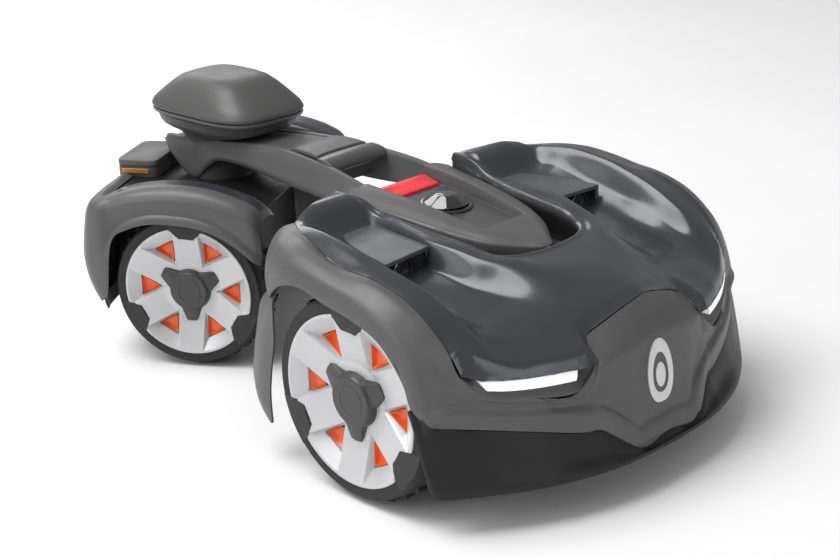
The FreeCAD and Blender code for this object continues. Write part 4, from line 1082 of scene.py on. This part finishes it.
cover = Build()
rows = []
for y, half, z, lift in ((293.5, 42, 286.3, -2.5), (296, 42, 288.2, 0), (312, 41, 289.5, 0),
    (330, 39.5, 289.8, 0),
                         (345, 38.5, 289.0, 0), (352, 38.2, 286.0, 0), (358, 38, 283.6, 0),
                          (393, 35, 282.0, 0), (430, 34, 278.8, 0),
                         (462, 33.5, 274.6, 0), (470, 33.5, 273.4, 0)):
    rows.append([(half * f, y, z + lift - 1.6 * abs(f) ** 5 + 0.5 * (1 - f * f)) for f in np.linspace(-1, 1,
        25)])
rows = np.array(rows)
low = rows.copy()
low[:, :, 2] -= 5.0
cover.grid(front(rows))
cover.grid(front(low))
for a, b in ((rows[0], low[0]), (rows[-1], low[-1]), (rows[:, 0], low[:, 0]), (rows[:, -1], low[:, -1])):
    cover.grid(front(np.array([a, b])))
dress(cover.make("arm_cover"), "front", M["plate"], ["arm_rear_cover"], bevel=1.2, angle=40,
    segments=3)


# ---------------------------------------------------------------- aerial dome

def oval(half_x, half_y, power, count=128):
    t = circle(count)
    c, s = np.cos(t), np.sin(t)
    x = np.sign(c) * np.abs(c) ** (2 / power) * half_x
    y = np.sign(s) * np.abs(s) ** (2 / power) * half_y
    return x, y


def tower(build, profile, half=(72.0, 109.0)):
    rows = []
    for share_x, share_y, z, power, ahead in profile:
        x, y = oval(half[0] * share_x, half[1] * share_y, power)
        rows.append(np.stack([x, y - ahead, z + 0 * x], -1))
    build.grid(over_pivot(np.array(rows)), wrap=True)


dome = Build()
tower(dome, [(0, 0, 355.0, 3, 22), (0.2, 0.2, 354.9, 3, 22), (0.40, 0.36, 354.4, 3.2, 22),
    (0.52, 0.46, 352.8, 3.4, 22),
             (0.62, 0.56, 349.0, 3.5, 22), (0.72, 0.67, 341.5, 3.6, 22), (0.82, 0.79, 332.0, 3.7, 22),
              (0.90, 0.89, 323.4, 3.8, 22),
             (0.955, 0.955, 317.0, 3.9, 22), (0.982, 0.985, 313.6, 3.6, 22), (0.998, 0.998, 311.8, 3.6, 22),
             (1.0, 1.0, 309.6, 3.6, 22), (0.992, 0.995, 308.0, 3.6, 22), (0.965, 0.978, 307.4, 3.6, 22),
              (0.94, 0.96, 307.3, 3.6, 22)])
dress(dome.make("aerial_dome", spot(over_pivot, 0, -20, 300)), "front", M["plate"],
      ["antenna_dome"], angle=50)
saddle = Build()
tower(saddle, [(0.94, 0.96, 307.6, 3.6, 22), (0.945, 0.965, 306.2, 3.6, 22), (0.985, 0.99, 305.6, 3.6, 22),
    (0.992, 0.994, 303.0, 3.6, 22),
               (0.975, 0.985, 301.0, 3.6, 22), (0.94, 0.95, 299.0, 3.6, 22), (0.915, 0.92, 296.4, 3.6, 21),
                (0.90, 0.89, 289.0, 3.5, 20),
               (0.86, 0.85, 284.0, 3.4, 19), (0.78, 0.76, 279.6, 3.3, 16), (0.69, 0.65, 275.6, 3.2, 12),
                (0.62, 0.55, 271.0, 3.0, 8),
               (0.58, 0.48, 267.0, 3.0, 5), (0.56, 0.44, 262.4, 3.2, 4), (0, 0, 262.4, 3, 3)])
dress(saddle.make("aerial_mast", spot(over_pivot, 0, -10, 290)), "front", M["shell"],
      ["antenna_base"], angle=50)


# ---------------------------------------------------------------- rear body

INSIDE_REAR = spot(rear, 0, 20, 120)

FENDER = [  # y, crown z, arch z, half width
    (-124, 205, 150, 200), (-117, 216, 153, 204), (-98, 228, 169, 205.5), (-75, 236.5, 184, 205.5),
     (-42, 243.5, 196, 205.5),
    (-8, 246, 200, 205.5), (27, 244.5, 199, 205.5), (55, 240, 191, 205), (78, 233, 177, 204),
     (94, 226, 162, 202)]
outer, trim = Build(), Build()
rows, rows_in = [], []
for y, crown, arch, half in FENDER:
    drop = crown - arch
    rows.append([(half - 27.5, y, crown - 0.6), (half - 26, y, crown + 0.2), (half - 17, y, crown - 1.2),
        (half - 9, y, crown - 5.5),
                 (half - 4.2, y, crown - 12.5), (half - 2.6, y, crown - min(19, drop * 0.5)),
                 (half - 3.6, y, arch + 17.5), (half - 4.6, y, arch + 12.5), (half - 2.0, y, arch + 9.0),
                  (half - 0.4, y, arch + 5),
                 (half, y, arch)])
    rows_in.append([(141.0, y, 213.0 if crown > 222 else crown - 8),
        (143.5, y, crown - 10 if crown > 222 else crown - 6), (147, y, crown - 4.4), (154, y, crown - 1.6),
                    (166, y, crown - 0.4), (half - 26.8, y, crown + 0.1)])
TAIL = [
    [(147, 90, 214), (180, 98, 226), (188, 101, 224.5), (195, 103.5, 220), (199.5, 105, 212),
     (201.5, 105.5, 196), (202, 105.5, 172),
     (201.5, 105, 150), (200.5, 104, 128), (198.5, 101.5, 106), (196, 99, 92)],
    [(146, 98, 214), (172, 106, 224), (181, 110, 222), (188, 113, 217), (192.5, 115.5, 208), (195, 117, 192),
     (196, 118.5, 170),
     (196.5, 119.5, 148), (195.5, 118, 124), (193.5, 113.5, 100), (191, 108, 84)],
    [(143, 103, 214), (160, 112, 222), (168, 117, 220), (174, 121, 214), (178, 124, 205), (180.5, 126.5, 189),
     (182, 129.5, 168),
     (182.5, 131.5, 147), (182, 130, 122), (180, 124, 97), (178, 117, 80)],
    [(135, 107, 214), (145, 116, 220), (150, 122, 218), (154, 127, 212), (156.5, 130.5, 202), (158, 133, 187),
     (159, 137, 167),
     (159.5, 139.5, 147), (159, 138, 120), (158, 131, 94), (157, 124, 77.5)],
    [(108, 110, 214), (115, 119, 219), (117, 126, 217), (118.5, 131.5, 210), (119.5, 135, 200),
     (120, 138, 186), (120, 142, 166),
     (120, 144.5, 147), (120, 143, 118), (120, 136, 92), (120, 129, 76.5)],
    [(70, 112, 214), (70, 121, 218), (70, 128.5, 216), (70, 134, 209), (70, 138, 199), (70, 141, 185),
     (70, 145, 166),
     (70, 147.5, 147), (70, 146, 118), (70, 139, 92), (70, 132, 76.5)],
    [(0, 113, 214), (0, 122, 218), (0, 130, 216), (0, 136, 209), (0, 139.5, 199), (0, 142.5, 185),
     (0, 146.5, 166),
     (0, 149, 147), (0, 147.5, 118), (0, 140.5, 92), (0, 133.5, 76.5)],
]
outer.grid(rear(net(rows[:-1] + TAIL, 5.0, 2.6)))
trim.grid(rear(net(rows_in, 5.0, 2.6)))
outer.mirrored_rear()
dress(outer.make("rear_skin", INSIDE_REAR), "rear_body", M["shell"], ["rear_shell"], thick=2.4,
    bevel=0.7, angle=45)
trim.mirrored_rear()
dress(trim.make("rear_trim", INSIDE_REAR), "rear_body", M["hood"], thick=2.2, bevel=0.5, angle=45)

rows = [[(x * 0.985, y - 4.0, z + 6.0), (x * 0.985, y - 4.5, z - 5.0), (x * 0.98, y - 7.0, z - 14.0)]
        for x, y, z in [station[-1] for station in TAIL[2:]]]
guard = Build().grid(rear(net(rows, 6.0, 4.0))).mirrored_rear()
dress(guard.make("rear_guard_band", INSIDE_REAR), "rear_body", M["skirt"], ["rear_guard"],
    thick=2.4,
      bevel=0.6, angle=45)

# The deck: a plate from a round hole over the pivot out to the fenders.
HOLE_R, DECK_HALF_X, DECK_BEHIND, DECK_AHEAD, DECK_Z = 47.0, 141.0, 124.0, 118.0, 212.0
rows = []
for share in np.linspace(0, 1, 12):
    row = []
    for t in circle(120):
        cx, cy = math.cos(t), math.sin(t)
        reach = min(DECK_HALF_X / max(abs(cx), 1e-6), (DECK_BEHIND if cy > 0 else DECK_AHEAD) / max(abs(cy),
            1e-6))
        r = HOLE_R + (reach - HOLE_R) * share
        row.append((r * cx, r * cy, DECK_Z))
    rows.append(row)
deck_plate = Build().grid(rear(np.array(rows)), wrap=True)
dress(deck_plate.make("rear_deck", spot(rear, 0, 0, 100)), "rear_body", M["chassis"],
      thick=2.4, bevel=0.6, angle=45)

box = Build()
lid = rounded([(-51, 77), (51, 77), (48, 137), (-48, 137)], 12, 6)
rows = []
for k, z in ((1.0, 212.6), (1.0, 224.0), (0.995, 226.0), (0.96, 226.4), (0.96, 228.2), (1.0, 228.6),
    (1.0, 233.5), (0.985, 235.2), (0.95, 236.0), (0.0, 236.0)):
    rows.append([(x * k, 107 + (y - 107) * k, z) for x, y in lid])
box.grid(rear(np.array(rows)), wrap=True)
dress(box.make("rear_lid", spot(rear, 0, 107, 222)), "rear_body", M["plate"], ["rear_box_cover"],
    angle=35)
strip = Build()
for near_x, far_x in ((-51.8, -49.5), (49.5, 51.8)):
    strip.block([(near_x, 88), (far_x, 88), (far_x, 128), (near_x, 128)], 218.0, 224.5, rear)
dress(strip.make("rear_lid_strip"), "rear_body", M["amber"], bevel=0.6, angle=35)

# ---------------------------------------------------------------- carried-over CAD nodes

KEPT = {
    "chassis": ["front_chassis", "rear_chassis", "deck_carriage", "skid_plate", "knob_shaft"],
    "steel": ["blade_disc", "blade_screws", "pivot_shaft", "lift_screw", "belly_screws", "steering_gear",
        "steering_pinion",
              "blade_1", "blade_2", "blade_3", "blade_4", "blade_5"],
    "can": ["cutting_motor", "height_motor", "front_wheel_motors", "rear_wheel_motors", "steering_motor"],
    "battery": ["battery_pack"],
}
for key, names in KEPT.items():
    for name in names:
        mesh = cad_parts[name].data
        mesh.materials.clear()
        mesh.materials.append(M[key])


# ---------------------------------------------------------------- floor, light and camera

FLOOR_REACH = 14.0
sides = (-FLOOR_REACH, FLOOR_REACH)
floor = Build().grid(np.array([[(x, y, 0.0) for x in sides] for y in sides])).make("studio_floor", (0, 0, -5))
floor.data.materials.append(M["floor"])
floor.data.shade_smooth()
floor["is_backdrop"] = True


def area_light(name, where, target, size, energy, size_y=None):
    data = bpy.data.lights.new(name, "AREA")
    data.energy = energy
    data.shape = "RECTANGLE"
    data.size, data.size_y = size, size_y or size
    lamp = bpy.data.objects.new(name, data)
    bpy.context.scene.collection.objects.link(lamp)
    lamp.location = where
    lamp.rotation_euler = (Vector(target) - Vector(where)).to_track_quat("-Z", "Y").to_euler()


area_light("key_top", (-1.7, 1.1, 4.1), (0, 0, 0.1), 3.0, 200, size_y=3.0)
area_light("fill_near", (-3.4, 0.6, 1.9), (0, 0, 0.15), 2.4, 26, size_y=1.4)
area_light("fill_nose", (-0.4, -3.6, 1.3), (0, 0, 0.1), 1.6, 16)
area_light("rim_far", (1.4, 3.2, 1.9), (0, 0, 0.2), 2.6, 30, size_y=1.2)

world = bpy.data.worlds.new("studio")
world.use_nodes = True
sky = world.node_tree.nodes["Background"]
sky.inputs["Color"].default_value = (1, 1, 1, 1)
sky.inputs["Strength"].default_value = 0.36
bpy.context.scene.world = world
bpy.context.scene.view_settings.view_transform = "Standard"
bpy.context.scene.view_settings.look = "None"

azimuth, elevation, roll = math.radians(-44.25), math.radians(20.85), math.radians(-2.34)
back = Vector((math.sin(azimuth) * math.cos(elevation), -math.cos(azimuth) * math.cos(elevation),
    math.sin(elevation)))
right_axis = (-back).cross(Vector((0, 0, 1))).normalized()
up_axis = right_axis.cross(-back)
rolled_x = right_axis * math.cos(roll) + up_axis * math.sin(roll)
rolled_y = -right_axis * math.sin(roll) + up_axis * math.cos(roll)
camera_data = bpy.data.cameras.new("camera")
camera_data.sensor_width = 36.0
camera_data.lens = 68.58
camera_data.clip_end = 50.0
camera = bpy.data.objects.new("camera", camera_data)
turned = Matrix((rolled_x, rolled_y, back)).transposed().to_4x4()
camera.matrix_world = Matrix.Translation(Vector((-1.3008, -1.1721 + AXLE_Y / 1000, 0.8503))) @ turned
bpy.context.scene.collection.objects.link(camera)
bpy.context.scene.camera = camera

boxes = {"cad": CAD_BOX, "visual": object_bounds()}
{key: [[float(v) for v in corner] for corner in box] for key, box in boxes.items()}
